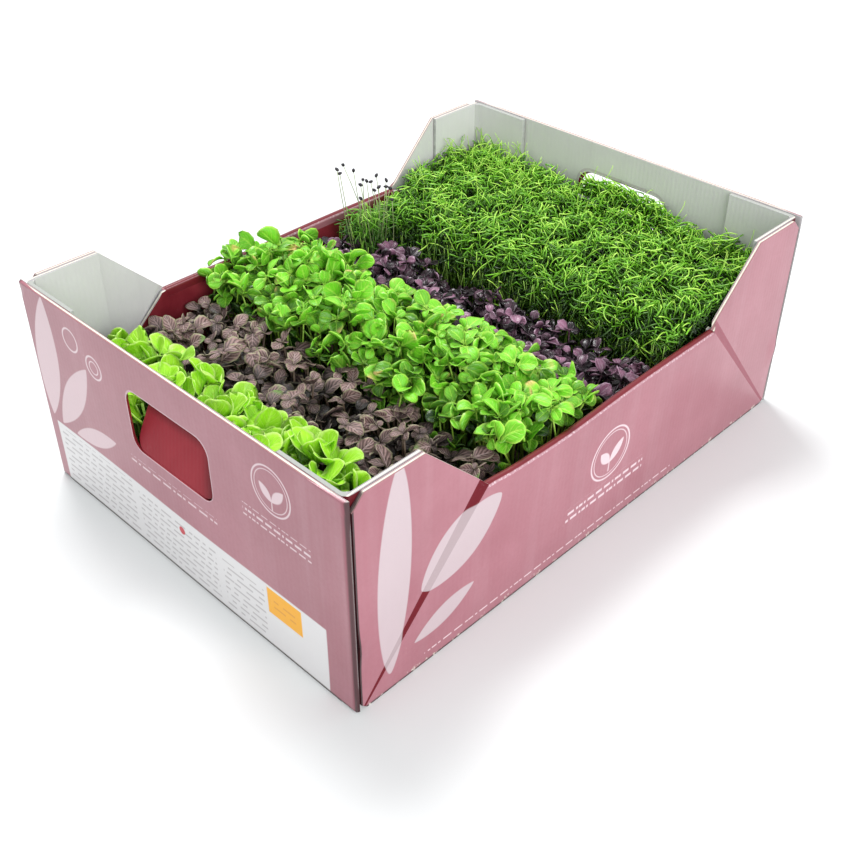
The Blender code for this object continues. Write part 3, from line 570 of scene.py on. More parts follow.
def cut_edge(look):
    """The board's cut edge: pale, fluted, a little stained, its two sheets darkened as painted shade."""
    paint = Paint("cut_edge")
    vector, x, y, z = paint.place()
    flutes = ((x + y) * FLUTES).sine()
    stain = paint.noise(vector, 180.0, 4.0, 0.65)
    color = paint.mix(stain.fade(0.4, 0.8) * 0.55, look.edge, look.edge_dark)
    color = paint.mix(flutes.fade(0.2, 0.9) * 0.16, color, look.edge_dark)
    depth = (HALF_X - abs(x)).least(HALF_Y - abs(y)) * (1 / (BOARD + GAP))
    part = depth.math("FRACT")
    # Painted shade: dark lines along the board's two sheets, the outer one in the dark print's colour.
    sheets = abs(part - 0.42).fade(0.12, 0.24)
    line = paint.mix(depth.fade(0.5, 1.0), look.print_dark, (0.300, 0.290, 0.320))
    color = paint.mix(sheets * 0.85, color, line)
    # Painted shade: dark at the side walls' cut corners, in the gap inside them.
    corner = abs(y).fade(SIDE_END - CORNER_CUT - 0.001, SIDE_END - CORNER_CUT + 0.001)
    corner = corner * depth.fade(1.0, 0.95) * part.fade(0.16, 0.30)
    color = paint.mix(corner * (HALF_Y - abs(y)).fade(BOARD, BOARD + 0.0002) * 0.9, color, look.gap_color)
    # Painted shade: the tops of the corner angles' legs along the end walls, which sit lower, are grey.
    end = (abs(y) - abs(x)).fade(HALF_Y - HALF_X - 0.0002, HALF_Y - HALF_X + 0.0002)
    color = paint.mix(end * depth.fade(0.90, 0.94), color, (0.370, 0.385, 0.360))
    tucked = abs(y).fade(NOTCH_FOOT + 0.0005, NOTCH_FOOT - 0.0005) * z.fade(LOW_TOP + 0.001, LOW_TOP)
    color = paint.mix(tucked, color, look.lining_color)
    height = flutes * 0.25 + paint.noise(vector, 1500.0, 3.0, 0.7) * 0.3
    return paint.finish(color, stain * 0.1 + 0.7, height, 0.0002)


def corner_shade(look):
    """The upright cut edges in the gaps of the corners: dull maroon brown, nearly black in places."""
    paint = Paint("corner_shade")
    stain = paint.noise(paint.place()[0], 140.0, 3.0, 0.6)
    color = paint.mix(stain.fade(0.3, 0.7), look.gap_color, (0.060, 0.012, 0.015))
    return paint.finish(color, stain * 0.1 + 0.8, stain, 0.0002, Specular_IOR_Level=0.1)


def shaded_edge(look):
    """A cut edge that stands in the shade: grey, with fine flutes."""
    paint = Paint("shaded_edge")
    vector = paint.place()[0]
    stain = paint.noise(vector, 180.0, 4.0, 0.65)
    color = paint.mix(stain, look.shaded_edge, (0.20, 0.22, 0.20))
    return paint.finish(color, stain * 0.1 + 0.7, paint.noise(vector, 1500.0, 3.0, 0.7), 0.0002)


def tray_plastic():
    """Thin black sheet plastic with fine grain, splashes and dust."""
    paint = Paint("tray_plastic")
    vector = paint.place()[0]
    dust = paint.noise(vector, 70.0, 5.0, 0.7)
    grain = paint.noise(vector, 1400.0, 2.0, 0.6)
    color = paint.mix(dust.fade(0.5, 0.8) * 0.5, (0.012, 0.014, 0.012), (0.060, 0.055, 0.040))
    return paint.finish(color, dust * 0.25 + grain * 0.1 + 0.28, grain * 0.3 + dust * 0.2, 0.0002)


def matted_fibre():
    """Damp brown fibre mat, matted and uneven."""
    paint = Paint("matted_fibre")
    vector = paint.place()[0]
    strands = paint.noise(vector, 260.0, 6.0, 0.75, (1.0, 0.35, 1.0))
    clumps = paint.noise(vector, 55.0, 4.0, 0.65)
    color = paint.mix(strands.fade(0.35, 0.7), (0.012, 0.008, 0.004), (0.115, 0.070, 0.030))
    color = paint.mix(clumps.fade(0.55, 0.75) * 0.35, color, (0.030, 0.055, 0.012))
    return paint.finish(color, clumps * 0.2 + 0.75, strands + clumps * 0.8, 0.0015)


def leaf_paint(name, dark, light, rim, vein, veins, relief, gloss, patch=0.35, flush=None, groove=0.0,
               spread=(0.08, 0.92), coat=0.0, stalk=0.0):
    """A leaf: own lightness with painted shade, a pale midrib, slanted side veins, a light rim, soft patches.

    The side veins run where sin(veins * (along - 0.45 * |across|)) peaks, by the leaf's own UV map. groove is
    the painted shade in the wrinkles between them, spread the lightness of the darkest and the lightest leaf,
    gloss the roughness of those two, patch the strength of the patches, flush the colour of spots towards the
    tip, and stalk how bright the stalk is. Towards its stalk the leaf is painted darker as shade, and its light
    rim is a painted highlight, strongest on the lit leaves.
    """
    paint = Paint(name)
    across, along, tone_and_shade = paint.leaf_place()
    side = abs(across - 0.5) * 2.0
    vector = paint.place()[0]
    cloud = paint.noise(vector, 130.0, 3.0, 0.6)
    wave = ((along - side * 0.45) * (veins * TURN)).sine()
    ribs = wave.fade(0.55, 0.98) * side.fade(0.95, 0.4)
    middle = side.fade(0.16, 0.03) * along.fade(1.0, 0.75)
    edge = side.fade(0.74, 0.97).most(along.fade(0.93, 0.99))
    # Painted shade: how lit each part is follows its own value, which is darker lower down among the leaves.
    lit = tone_and_shade.fade(*spread)
    color = paint.mix(lit + (cloud - 0.5) * patch, dark, light)
    # Painted shade: darker towards the stalk.
    color = paint.mix(along.fade(0.60, 0.10) * 0.45, color, dark)
    # Painted shade in the wrinkles between the side veins.
    if groove:
        color = paint.mix(wave.fade(0.4, -0.9) * side.fade(1.0, 0.6) * groove, color, dark)
    color = paint.mix(ribs * (lit * 0.45 + 0.05), color, vein)
    color = paint.mix(middle * (lit * 0.65 + 0.10), color, vein)
    # Painted highlight along the rim, strongest on the lit leaves.
    color = paint.mix(edge * (lit * 0.80 + 0.10), color, rim)
    if stalk:
        color = paint.mix(along.fade(0.30, 0.22) * (lit * 0.7 + 0.3) * stalk, color, rim)
    if flush:
        spots = paint.noise(vector, 55.0, 2.0, 0.5).fade(0.60, 0.70) * along.fade(0.50, 0.95)
        color = paint.mix(spots * 0.8, color, flush)
    height = cloud * 0.7 - ribs * 0.4 - middle * 0.5
    rough = tone_and_shade * (gloss[1] - gloss[0]) + cloud * 0.1 + gloss[0]
    return paint.finish(color, rough, height, relief, Coat_Weight=coat, Coat_Roughness=0.22)


def stem_paint(name, low, high, tip=None, rise=0.7, gloss=0.4):
    """Stems, from low to high by their tone and rise times how far along they are, the brightest to tip."""
    paint = Paint(name)
    along, tone_and_shade = paint.leaf_place()[1:]
    streak = paint.noise(paint.place()[0], 300.0, 3.0, 0.6)
    # Painted shade: darker towards the foot, and for the threads and the tuft the value itself holds painted
    # shade by depth.
    color = paint.mix(along * rise + tone_and_shade * (1 - rise), low, high)
    color = paint.mix(streak.fade(0.4, 0.8) * 0.3, color, low)
    if tip:
        color = paint.mix(tone_and_shade.fade(0.70, 1.0) * along.fade(0.1, 0.8), color, tip)
    return paint.finish(color, streak * 0.2 + gloss, streak, 0.0002)


def seed_paint():
    """Dark dry seed husks with a dull bloom."""
    paint = Paint("seed_husk")
    grain = paint.noise(paint.place()[0], 1800.0, 3.0, 0.6)
    color = paint.mix(grain, (0.008, 0.006, 0.010), (0.045, 0.035, 0.050))
    return paint.finish(color, grain * 0.3 + 0.35, grain, 0.0002)


# The crate


def wall_bow(side, y, z):
    """How far a side wall bows outwards about its low middle.

    It is a bell along Y times the 1.5th power of the height, and ends before the creases.
    """
    height = np.clip(z / LOW_TOP, 0, 1.4)
    middle, amount = BOWS[side]
    bell = np.exp(-(((y - middle) / 0.055) ** 2)) * smoothstep(0.105, 0.085, np.abs(y))
    return amount * bell * height ** 1.5


def mirrored(points):
    """A polyline of (y, z), and after it the same points on the other side of the middle."""
    return points + [(-y, z) for y, z in reversed(points)]


def fan_columns(foot, top, counts):
    """Columns between two polylines with matching corners: each stretch is split evenly, counts times."""
    ends = []
    for line in (foot, top):
        points = [np.array(line[:1], float)]
        for here, there, count in zip(line, line[1:], counts):
            part = np.linspace(0, 1, count + 1)[1:, None]
            points.append(np.array(here) * (1 - part) + np.array(there) * part)
        ends.append(np.concatenate(points))
    return ends


def side_wall(side):
    """A side wall: columns fan from its bottom corners to its stepped top, and the low middle folds inwards.

    A column runs straight from its foot to its top, and rows divide it evenly. The step between the two folds
    of the crease moves the low middle outwards, most at its top, across the columns of the crease band. A bell
    of the height swells the wall's upright ends.
    """
    slope = (CRATE_TOP - LOW_TOP) / (FLAT_END - NOTCH_FOOT)
    crease_y = NOTCH_FOOT + 0.0052
    crease = (-crease_y, LOW_TOP + (crease_y - NOTCH_FOOT) * slope)
    foot = [(-SIDE_END + cut, FOOT_CUT - cut) for cut in (0, 0.0004, 0.0008, 0.0016, 0.0028)]
    foot = mirrored(foot + [(-SIDE_END + FOOT_CUT, 0)])
    top = mirrored([(-SIDE_END, CRATE_TOP - CORNER_CUT), (-SIDE_END + CORNER_CUT, CRATE_TOP),
                    (-FLAT_END, CRATE_TOP), crease, (-NOTCH_FOOT - 0.0004, LOW_TOP + 0.0002),
                    (-NOTCH_FOOT + 0.0010, LOW_TOP)])
    counts = [4, 10, 10, 6, 2]
    feet, tops = fan_columns(foot, top, counts + [48] + counts[::-1])
    total = len(feet)
    place = np.arange(total)
    start, end = sum(counts[:3]), sum(counts[:4])
    stepped = smoothstep(start, end, place) * smoothstep(total - 1 - start, total - 1 - end, place)
    low = (np.abs(tops[:, 0]) < NOTCH_FOOT).astype(float)
    rows = np.linspace(0, 1, 25)
    high = tops[:, 1] - FOLD_RADIUS * low
    high_y = feet[:, 0] + (tops[:, 0] - feet[:, 0]) * (high - feet[:, 1]) / (tops[:, 1] - feet[:, 1])
    y = feet[:, :1] + (high_y - feet[:, 0])[:, None] * rows
    z = feet[:, 1:] + (high - feet[:, 1])[:, None] * rows
    shift = wall_bow(side, y, z) + CREASE_STEP * stepped[:, None] * rows ** 1.1
    swell = 0.0012 * np.exp(-(((z - 0.046) / 0.010) ** 2)) * smoothstep(SIDE_END - 0.010, SIDE_END, np.abs(y))
    outer = np.stack([HALF_X + shift + swell, y, z], axis=-1)
    inner = np.stack([HALF_X - BOARD + shift + swell * 0.6, y, z], axis=-1)
    turn = np.linspace(0, math.pi, 11)[1:]
    drop = np.array([0.0012, 0.0024, FOLD_DROP])
    fold_x = np.concatenate([FOLD_RADIUS * (np.cos(turn) - 1), np.full(3, -2 * FOLD_RADIUS), [-BOARD]])
    fold_z = np.concatenate([FOLD_RADIUS * np.sin(turn), -drop, [-FOLD_DROP]])
    folded = low[:, None] > 0
    over = np.zeros((total, len(fold_x), 3))
    over[..., 0] = HALF_X + shift[:, -1:] + np.where(folded, fold_x, np.linspace(0, -BOARD, len(fold_x)))
    over[..., 1] = y[:, -1:]
    over[..., 2] = z[:, -1:] + np.where(folded, fold_z, 0)
    inner[..., 2] = np.minimum(inner[..., 2], np.where(folded, LOW_TOP - FOLD_RADIUS - FOLD_DROP, 1))
    for grid in (outer, inner, over):
        grid[..., 0] *= side
    printed = np.repeat(((low[:-1] > 0) & (low[1:] > 0))[:, None], len(fold_x) + 1, axis=1)
    band = (place[:-1] >= start) & (place[:-1] < end)
    return board_sheet(outer, inner, over, printed, band | band[::-1], 4)


def side_lining(side):
    """The sheet folded over a low wall and tucked in. Its slanted ends run down to the corner angles.

    Columns fan from its foot to its top as the side wall's do, and a shallow sine of the height swells it.
    """
    top = LOW_TOP - FOLD_RADIUS - FOLD_DROP - 0.0001
    foot_end = -LINING_LOW.y
    ear = (NOTCH_FOOT + 0.0044, LOW_TOP - 0.0008)
    bend = ear[1] - (foot_end - ear[0]) * 0.89
    foot = mirrored([(-foot_end + inset, FLOOR_TOP) for inset in (0, 0.002, 0.004, 0.005)])
    tops = mirrored([(-foot_end, bend), (-ear[0], ear[1]), (-NOTCH_FOOT - 0.0008, ear[1]),
                     (-NOTCH_FOOT + 0.0002, top)])
    feet, tops = fan_columns(foot, tops, [14, 3, 2, 40, 2, 3, 14])
    rows = np.linspace(0, 1, 17)
    y = feet[:, :1] + (tops[:, 0] - feet[:, 0])[:, None] * rows
    z = feet[:, 1:] + (tops[:, 1] - feet[:, 1])[:, None] * rows
    height = np.clip(z / top, 0, 1)
    shift = wall_bow(side, y, z) + CREASE_STEP * smoothstep(0.112, 0.100, np.abs(y)) * height
    swell = -0.0006 * np.sin(np.pi * height) * np.cos(y * 21 + 0.6)
    face = np.stack([side * (INNER_X - BOARD + shift + swell), y, z], axis=-1)
    return board_sheet(face, face + np.array([side * BOARD, 0, 0]))


def end_wall(end):
    """An end wall with its hand hole: rings run from the hole's edge to the outline.

    The first rings blend the rounded hole into the rectangle, and the last follow the rectangle inwards from
    its edge. Near the crate's corners the outer face rounds off on an arc, as a folded sheet does. The hole is
    wider on the inside, where the die has crushed its edge.
    """
    corner = math.atan2(CRATE_TOP - HOLE["z"], HALF_X), math.atan2(HOLE["z"], HALF_X)
    marks = [-corner[1], corner[0], math.pi - corner[0], math.pi + corner[1], TURN - corner[1]]
    turns = np.concatenate([np.linspace(start, stop, count, endpoint=False)
                            for start, stop, count in zip(marks, marks[1:], (14, 40, 14, 40))])
    run = np.stack([np.cos(turns), np.sin(turns)], axis=1)
    half = np.array([HOLE["width"] / 2, HOLE["height"] / 2])
    reach = rounded_reach(run, half, np.where(run[:, 1] < 0, *HOLE["radii"]))
    hole = run * reach[:, None] + np.array([end * HOLE["x"], HOLE["z"]])
    edge = [rectangle_ring(run, inset) for inset in (0.0060, 0.0034, 0.0026, 0.0018, 0.0010, 0.0004, 0.0)]
    blend = np.linspace(0, 1, 8)[1:-1] ** 0.9
    flat = np.array([hole, *(hole * (1 - part) + edge[0] * part for part in blend), *edge])
    x, z = flat[..., 0], flat[..., 1]
    bend = 0.0024
    past = np.clip(np.abs(x) - (HALF_X - bend), 0, bend)
    rounding = bend - np.sqrt(bend ** 2 - past ** 2)
    wave = 0.00035 * np.sin(x * 31 + 1.0) * np.sin(z * 34 + 0.4)
    wave = (wave + 0.0005 * np.exp(-((x / 0.05) ** 2)) * z / CRATE_TOP) * (past == 0)
    outer = np.stack([x, end * (HALF_Y - rounding + wave), z], axis=-1)
    crush = HOLE["crush"] * smoothstep(-0.75, -0.45, run[:, 1])[None, :]
    crush = crush * (1 - np.arange(len(flat)) / 7).clip(0)[:, None]
    x, z = x + crush * run[:, 0], z + crush * run[:, 1]
    inner = np.stack([x, end * (HALF_Y - BOARD + wave), z], axis=-1)
    return ring_sheet(outer, inner)


def rectangle_ring(run, inset):
    """Points where rays from the hole's middle meet the wall's outline, moved inwards by inset."""
    wide = (HALF_X - inset) / np.maximum(np.abs(run[:, 0]), 1e-9)
    room = np.where(run[:, 1] > 0, CRATE_TOP - inset - HOLE["z"], HOLE["z"] - inset)
    tall = room / np.maximum(np.abs(run[:, 1]), 1e-9)
    return run * np.minimum(wide, tall)[:, None] + np.array([0, HOLE["z"]])


def rounded_reach(run, half, radius):
    """How far each ray goes from a rounded rectangle's middle to its edge, found by halving the distance.

    Each ray has its corner's radius.
    """
    low, high = np.zeros(len(run)), np.full(len(run), half.sum())
    for _ in range(40):
        middle = (low + high) / 2
        beyond = np.abs(run) * middle[:, None] - (half - radius[:, None])
        distance = np.linalg.norm(np.maximum(beyond, 0), axis=1) + np.minimum(beyond.max(axis=1), 0) - radius
        low, high = np.where(distance < 0, middle, low), np.where(distance < 0, high, middle)
    return low


def flap(end):
    """The hole's tongue, bent inwards about the hole's lower edge at the wall's outer face, slightly curled.

    Its half width follows a circle at the rounded corners of both ends. It thickens from its fold over 3 mm.
    """
    radius, length = FLAP["radius"], FLAP["length"]
    turns = np.linspace(0, math.pi / 2, 9)
    along = np.concatenate([radius * (1 - np.cos(turns)), np.linspace(radius, length - radius, 7)[1:],
                            length - radius + radius * np.sin(turns[1:])])
    straight = np.maximum(radius - along, 0) + np.maximum(along - (length - radius), 0)
    half = FLAP["half"] - radius + np.sqrt(np.maximum(radius ** 2 - straight ** 2, 1e-9))
    across = np.linspace(-1, 1, 25)
    lean = FLAP["lean"] + 0.10 * along / length - 0.05
    step = np.diff(along)
    depth = 0.0004 + np.concatenate([[0], np.cumsum(step * np.sin((lean[1:] + lean[:-1]) / 2))])
    rise = 0.0002 + np.concatenate([[0], np.cumsum(step * np.cos((lean[1:] + lean[:-1]) / 2))])
    thick = BOARD * (0.15 + 0.85 * smoothstep(0, 0.003, along))
    x = end * HOLE["x"] + half[None, :] * across[:, None]
    z = np.broadcast_to(HOLE["z"] - HOLE["height"] / 2 + rise, x.shape)
    y = np.broadcast_to(HALF_Y - depth, x.shape)
    face = np.stack([x, end * y, z], axis=-1)
    behind = np.stack([x, end * (y - thick * np.cos(lean)), z - thick * np.sin(lean)], axis=-1)
    return board_sheet(face, behind)


def corner_angle(side, end):
    """An L in plan with a slanted fold in its corner: its path is carried straight up from floor to rim.

    The leg along the end wall ends half a millimetre lower than the wall.
    """
    tip_x, tip_y = INNER_X - 0.050, FLAT_END
    near_x, near_y = INNER_X - BOARD, INNER_Y - BOARD
    fold = ANGLE_FOLD
    outside = [(tip_x, INNER_Y), (INNER_X - 0.0052, INNER_Y), (INNER_X - 0.0030, INNER_Y - 0.0003),
               (INNER_X - 0.0006, INNER_Y - 0.0020), (INNER_X, INNER_Y - 0.0048), (INNER_X, tip_y)]
    inside = [(tip_x, near_y), (near_x - fold - 0.0006, near_y), (near_x - fold + 0.0003, near_y - 0.0003),
              (near_x - 0.0003, near_y - fold + 0.0003), (near_x, near_y - fold - 0.0006), (near_x, tip_y)]
    rows = np.linspace(FLOOR_TOP, CRATE_TOP, 12)
    drop = np.array([0.0005, 0.0005, 0.0005, 0.0003, 0, 0])[:, None] * np.linspace(0, 1, 12)
    grids = []
    for path in (inside, outside):
        flat = np.array(path)
        grid = np.zeros((len(flat), len(rows), 3))
        grid[..., 0] = side * flat[:, :1]
        grid[..., 1] = end * flat[:, 1:]
        grid[..., 2] = rows - drop
        grids.append(grid)
    return board_sheet(*grids, ends=3)


# Leaves, stems and threads. A kind of leaf holds its shape, and its row's place, limits and stems.

ROUND = {
    "rows": (0, 0.18, 0.32, 0.46, 0.62, 0.77, 0.89, 0.96, 1.0), "columns": 4, "stalk": 0.22, "peak": 1.12,
    "blunt": 0.52, "stem": 0.0009, "tooth": 0.0, "droop": (-0.3, 1.1), "cup": (0.12, 0.55), "roll": 0.36,
    "twist": 0.5, "wave": 0.05, "waves": 1.6, "thick": 0.0006, "chance": 0.4, "width": (0.56, 0.70),
    "shade": (0.078, 0.112), "row": 0, "spread": 0.8, "stems": {"radius": 0.0010, "bend": 0.003},
}
WRINKLED = {
    "rows": (0, 0.12, 0.26, 0.42, 0.58, 0.74, 0.88, 1.0), "columns": 4, "stalk": 0.10, "peak": 0.82,
    "blunt": 0.78, "stem": 0.0006, "tooth": 0.045, "droop": (0.0, 1.1), "cup": (0.05, 0.45), "roll": 0.45,
    "twist": 0.5, "wave": 0.05, "waves": 2.2, "thick": 0.0005, "chance": 0.4, "width": (0.58, 0.72),
    "shade": (0.076, 0.095), "ceiling": 0.103, "row": 1, "spread": 0.9, "stems": {"radius": 0.0009},
}
OVAL = {
    "rows": (0, 0.14, 0.28, 0.42, 0.58, 0.76, 0.91, 1.0), "columns": 4, "stalk": 0.24, "peak": 1.0,
    "blunt": 0.62, "stem": 0.00075, "tooth": 0.0, "droop": (-0.3, 1.6), "cup": (0.05, 0.65), "roll": 0.60,
    "twist": 0.9, "wave": 0.04, "waves": 1.4, "thick": 0.0005, "chance": 0.55, "width": (0.46, 0.76),
    "shade": (0.084, 0.118), "ceiling": 0.134, "over": 0.006, "row": 2, "spread": 0.6,
    "stems": {"radius": 0.0007, "rings": 6, "bend": 0.005},
}
SMALL = {
    "rows": (0, 0.16, 0.36, 0.58, 0.80, 1.0), "columns": 4, "stalk": 0.14, "peak": 1.05, "blunt": 0.62,
    "stem": 0.0005, "tooth": 0.0, "droop": (0.0, 1.0), "cup": (0.1, 0.7), "roll": 0.50, "twist": 0.5,
    "wave": 0.03, "waves": 1.5, "thick": 0.0005, "chance": 0.68, "width": (0.60, 0.82),
    "shade": (0.076, 0.094), "ceiling": 0.100, "row": 3, "spread": 0.9,
    "stems": {"radius": 0.0007, "rings": 4, "sides": 3},
}


def leaf_template(rows, columns):
    """A closed leaf: (along, across, side, row, quads). Its upper and lower sheets share their outline.

    along goes from 0 to 1, across from -1 to 1, and side is 1 above, -1 below and 0 on the outline.
    """
    along, across = np.meshgrid(rows, np.linspace(-1, 1, columns + 1), indexing="ij")
    inside = np.zeros(along.shape, bool)
    inside[1:-1, 1:-1] = True
    top = np.arange(along.size).reshape(along.shape)
    bottom = top.copy()
    bottom[inside] = along.size + np.arange(inside.sum())
    side = np.concatenate([inside.ravel().astype(float), -np.ones(inside.sum())])
    row = np.broadcast_to(np.arange(len(rows))[:, None], along.shape)
    doubled = [np.concatenate([values.ravel(), values[inside]]) for values in (along, across, row)]
    return *doubled[:2], side, doubled[2], np.concatenate([grid_quads(top), grid_quads(bottom)[:, ::-1]])


def leaves(base, yaw, rise, length, kind, rng):
    """A batch of leaves, one for each row of base.

    A leaf's midrib is an arc: it starts at rise and bends down by droop over its length. Its half width is
    sin(pi * t^peak)^blunt past the stalk, its edges lift by cup times the square of across, and ripple in
    waves. Its lightness is in part a draw of its own, up to chance, and for the rest painted shade: how high
    each point stands between the two heights of shade, darker lower down.
    """
    count = len(base)
    width = length * rng.uniform(*kind["width"], count)
    t, s, side, row, quads = leaf_template(kind["rows"], kind["columns"])
    yaw, rise, length, width = (values[:, None] for values in (yaw, rise, length, width))
    droop = rng.uniform(*kind["droop"], (count, 1)) + 1e-3
    cup = rng.uniform(*kind["cup"], (count, 1))
    roll = rng.normal(0, kind["roll"], (count, 1))
    phase = rng.uniform(0, TURN, (count, 1))
    blade = np.clip((t - kind["stalk"]) / (1 - kind["stalk"]), 0, 1)
    profile = np.sin(np.pi * blade ** kind["peak"]) ** kind["blunt"]
    half = width / 2 * profile * (1 + kind["tooth"] * np.cos(np.pi * row)) + kind["stem"]
    angle = rise - droop * t
    reach = length * (np.sin(rise) - np.sin(angle)) / droop
    lift = length * (np.cos(angle) - np.cos(rise)) / droop
    forward = np.stack([np.cos(yaw), np.sin(yaw), np.zeros_like(yaw)], axis=-1)
    normal = np.stack([-np.sin(angle) * np.cos(yaw), -np.sin(angle) * np.sin(yaw), np.cos(angle)], axis=-1)
    level = np.stack([-np.sin(yaw), np.cos(yaw), np.zeros_like(yaw)], axis=-1)
    turn = roll + kind["twist"] * np.sin(phase) * t
    across = level * np.cos(turn)[..., None] + normal * np.sin(turn)[..., None]
    up = normal * np.cos(turn)[..., None] - level * np.sin(turn)[..., None]
    ripple = np.sin(TURN * kind["waves"] * t + phase + np.where(s > 0, 2.0, 0.0))
    wave = kind["wave"] * width * ripple * s ** 2
    height = cup * half * s ** 2 + wave * profile + side * kind["thick"] / 2
    points = (base[:, None, :] + forward * reach[..., None] + np.array([0, 0, 1.0]) * lift[..., None]
              + across * (half * s)[..., None] + up * height[..., None])
    chance = kind["chance"]
    # Painted shade: the lower a point stands, the darker it is painted.
    tone_and_shade = rng.uniform(0, chance, (count, 1)) + (1 - chance) * smoothstep(*kind["shade"], points[..., 2])
    uv = np.broadcast_to(np.stack([s / 2 + 0.5, t], axis=-1), (count, len(t), 2))
    faces = (quads[None] + (np.arange(count) * len(t))[:, None, None]).reshape(-1, 4)
    return {"points": points, "uv": uv, "tone_and_shade": tone_and_shade, "faces": [faces], "material": [0]}


def tubes(paths, radii, sides, rng, material):
    """A batch of closed stems. A ring is carried along each path, and turns with it without twisting."""
    count, rings = paths.shape[:2]
    run = np.gradient(paths, axis=1)
    run /= np.linalg.norm(run, axis=-1, keepdims=True)
    helper = np.where(np.abs(run[:, :1, :1]) < 0.7, np.array([1.0, 0, 0]), np.array([0, 1.0, 0]))
    across = np.cross(run[:, 0], np.broadcast_to(helper[:, 0], run[:, 0].shape))
    radii = np.broadcast_to(radii, (count, rings))
    turns = (TURN * np.arange(sides) / sides)[:, None]
    circles = []
    for ring in range(rings):
        across = across - run[:, ring] * np.sum(across * run[:, ring], axis=-1, keepdims=True)
        across /= np.linalg.norm(across, axis=-1, keepdims=True)
        other = np.cross(run[:, ring], across)
        circle = across[:, None] * np.cos(turns) + other[:, None] * np.sin(turns)
        circles.append(paths[:, ring, None] + circle * radii[:, ring, None, None])
    number = np.arange(rings * sides).reshape(rings, sides)
    quads = grid_quads(number, True)
    caps = np.stack([number[0], number[-1][::-1]])
    starts = (np.arange(count) * rings * sides)[:, None, None]
    along = np.broadcast_to(np.repeat(np.linspace(0, 1, rings), sides), (count, rings * sides))
    return {
        "points": np.stack(circles, axis=1).reshape(count, -1, 3),
        "uv": np.stack([np.full_like(along, 0.5), along], axis=-1),
        "tone_and_shade": np.repeat(rng.uniform(0, 1, count)[:, None], rings * sides, axis=1),
        "faces": [(quads[None, :, ::-1] + starts).reshape(-1, 4),
                  (caps[None, :, ::-1] + starts).reshape(-1, sides)],
        "material": [material, material],
    }


def keep_inside(batch, low_y, high_y, ceiling, over=0.0):
    """Moves each leaf or stem, as a whole, back into its row's room and clear of the boards.

    What stands above the low wall may reach past it by over.
    """
    points = batch["points"]
    for _ in range(2):
        top = points[..., 2].max(axis=1)
        above = points[..., 2].min(axis=1) > LOW_TOP + 0.002
        beside = np.abs(points[..., 1]).max(axis=1) > NOTCH_FOOT
        limit_x = np.where(above & ~beside, HALF_X + over, FREE_X - PLAY)[:, None]
        for axis, low, high in ((0, -limit_x, limit_x), (1, low_y, high_y)):
            least = points[..., axis].min(axis=1, keepdims=True)
            greatest = points[..., axis].max(axis=1, keepdims=True)
            points[..., axis] += np.maximum(low - least, 0) - np.maximum(greatest - high, 0)
        points[..., 2] -= np.maximum(top - ceiling, 0)[:, None]
    return batch


def scatter(nx, ny, x_range, y_range, rng):
    """Places on a jittered grid, as (n, 2)."""
    x, y = np.meshgrid((np.arange(nx) + 0.5) / nx, (np.arange(ny) + 0.5) / ny, indexing="ij")
    x = x + rng.uniform(-0.42, 0.42, x.shape) / nx
    y = y + rng.uniform(-0.42, 0.42, y.shape) / ny
    places = [x_range[0] + x * (x_range[1] - x_range[0]), y_range[0] + y * (y_range[1] - y_range[0])]
    return np.stack(places, axis=-1).reshape(-1, 2)


def stems_to(tops, roots, radius, rng, rings=5, sides=4, bend=0.004, material=1):
    """Stems from roots to tops, each bowed sideways by a sine of its height."""
    part = np.linspace(0, 1, rings)[None, :, None]
    bow = rng.normal(0, bend, (len(tops), 1, 3)) * np.array([1, 1, 0.0]) * np.sin(np.pi * part)
    paths = roots[:, None] * (1 - part) + tops[:, None] * part + bow
    return tubes(paths, np.linspace(1.15, 0.8, rings) * radius, sides, rng, material)


def root_under(tops, row, spread, rng):
    """Where each stem starts in its row's mat, under its top but drawn in towards the row's middle."""
    middle = -FREE_Y + ROW_PITCH * (row + 0.5)
    roots = tops.copy()
    roots[:, 0] = np.clip(tops[:, 0] * 0.96, -0.131, 0.131) + rng.normal(0, 0.002, len(tops))
    roots[:, 0] = np.clip(roots[:, 0], -0.133, 0.133)
    roots[:, 1] = middle + np.clip((tops[:, 1] - middle) * spread, -0.026, 0.026)
    roots[:, 2] = MAT_TOP - ROOT_DEPTH
    return roots


def kind_stems(tops, kind, rng):
    """The stems of a kind of leaf, from its mat to the tops."""
    return stems_to(tops, root_under(tops, kind["row"], kind["spread"], rng), rng=rng, **kind["stems"])


def lumps(places, size, seed):
    """Soft hills from about -1 to 1 over (n, 2) places: a mean of five waves of about size metres."""
    draw = np.random.default_rng(seed)
    turns = draw.uniform(0, math.pi, 5)
    waves = draw.uniform(0.7, 1.4, 5) * TURN / size
    phases = draw.uniform(0, TURN, 5)
    runs = places[:, :1] * np.cos(turns) + places[:, 1:2] * np.sin(turns)
    return np.sin(runs * waves + phases).mean(axis=1) * 1.6


def clumped(tops, size, seed, least):
    """The tops that stand on lumps above least, so that dark gaps stay between the clumps."""
    return tops[lumps(tops, size, seed) > least]


def around(centres, count, rng, play=0.35):
    """count even directions round each centre, each turned at random: (repeated centres, yaw)."""
    yaw = rng.uniform(0, TURN, (len(centres), 1)) + np.arange(count) * TURN / count
    yaw = yaw + rng.uniform(-play, play, yaw.shape)
    return np.repeat(centres, count, axis=0), yaw.ravel()


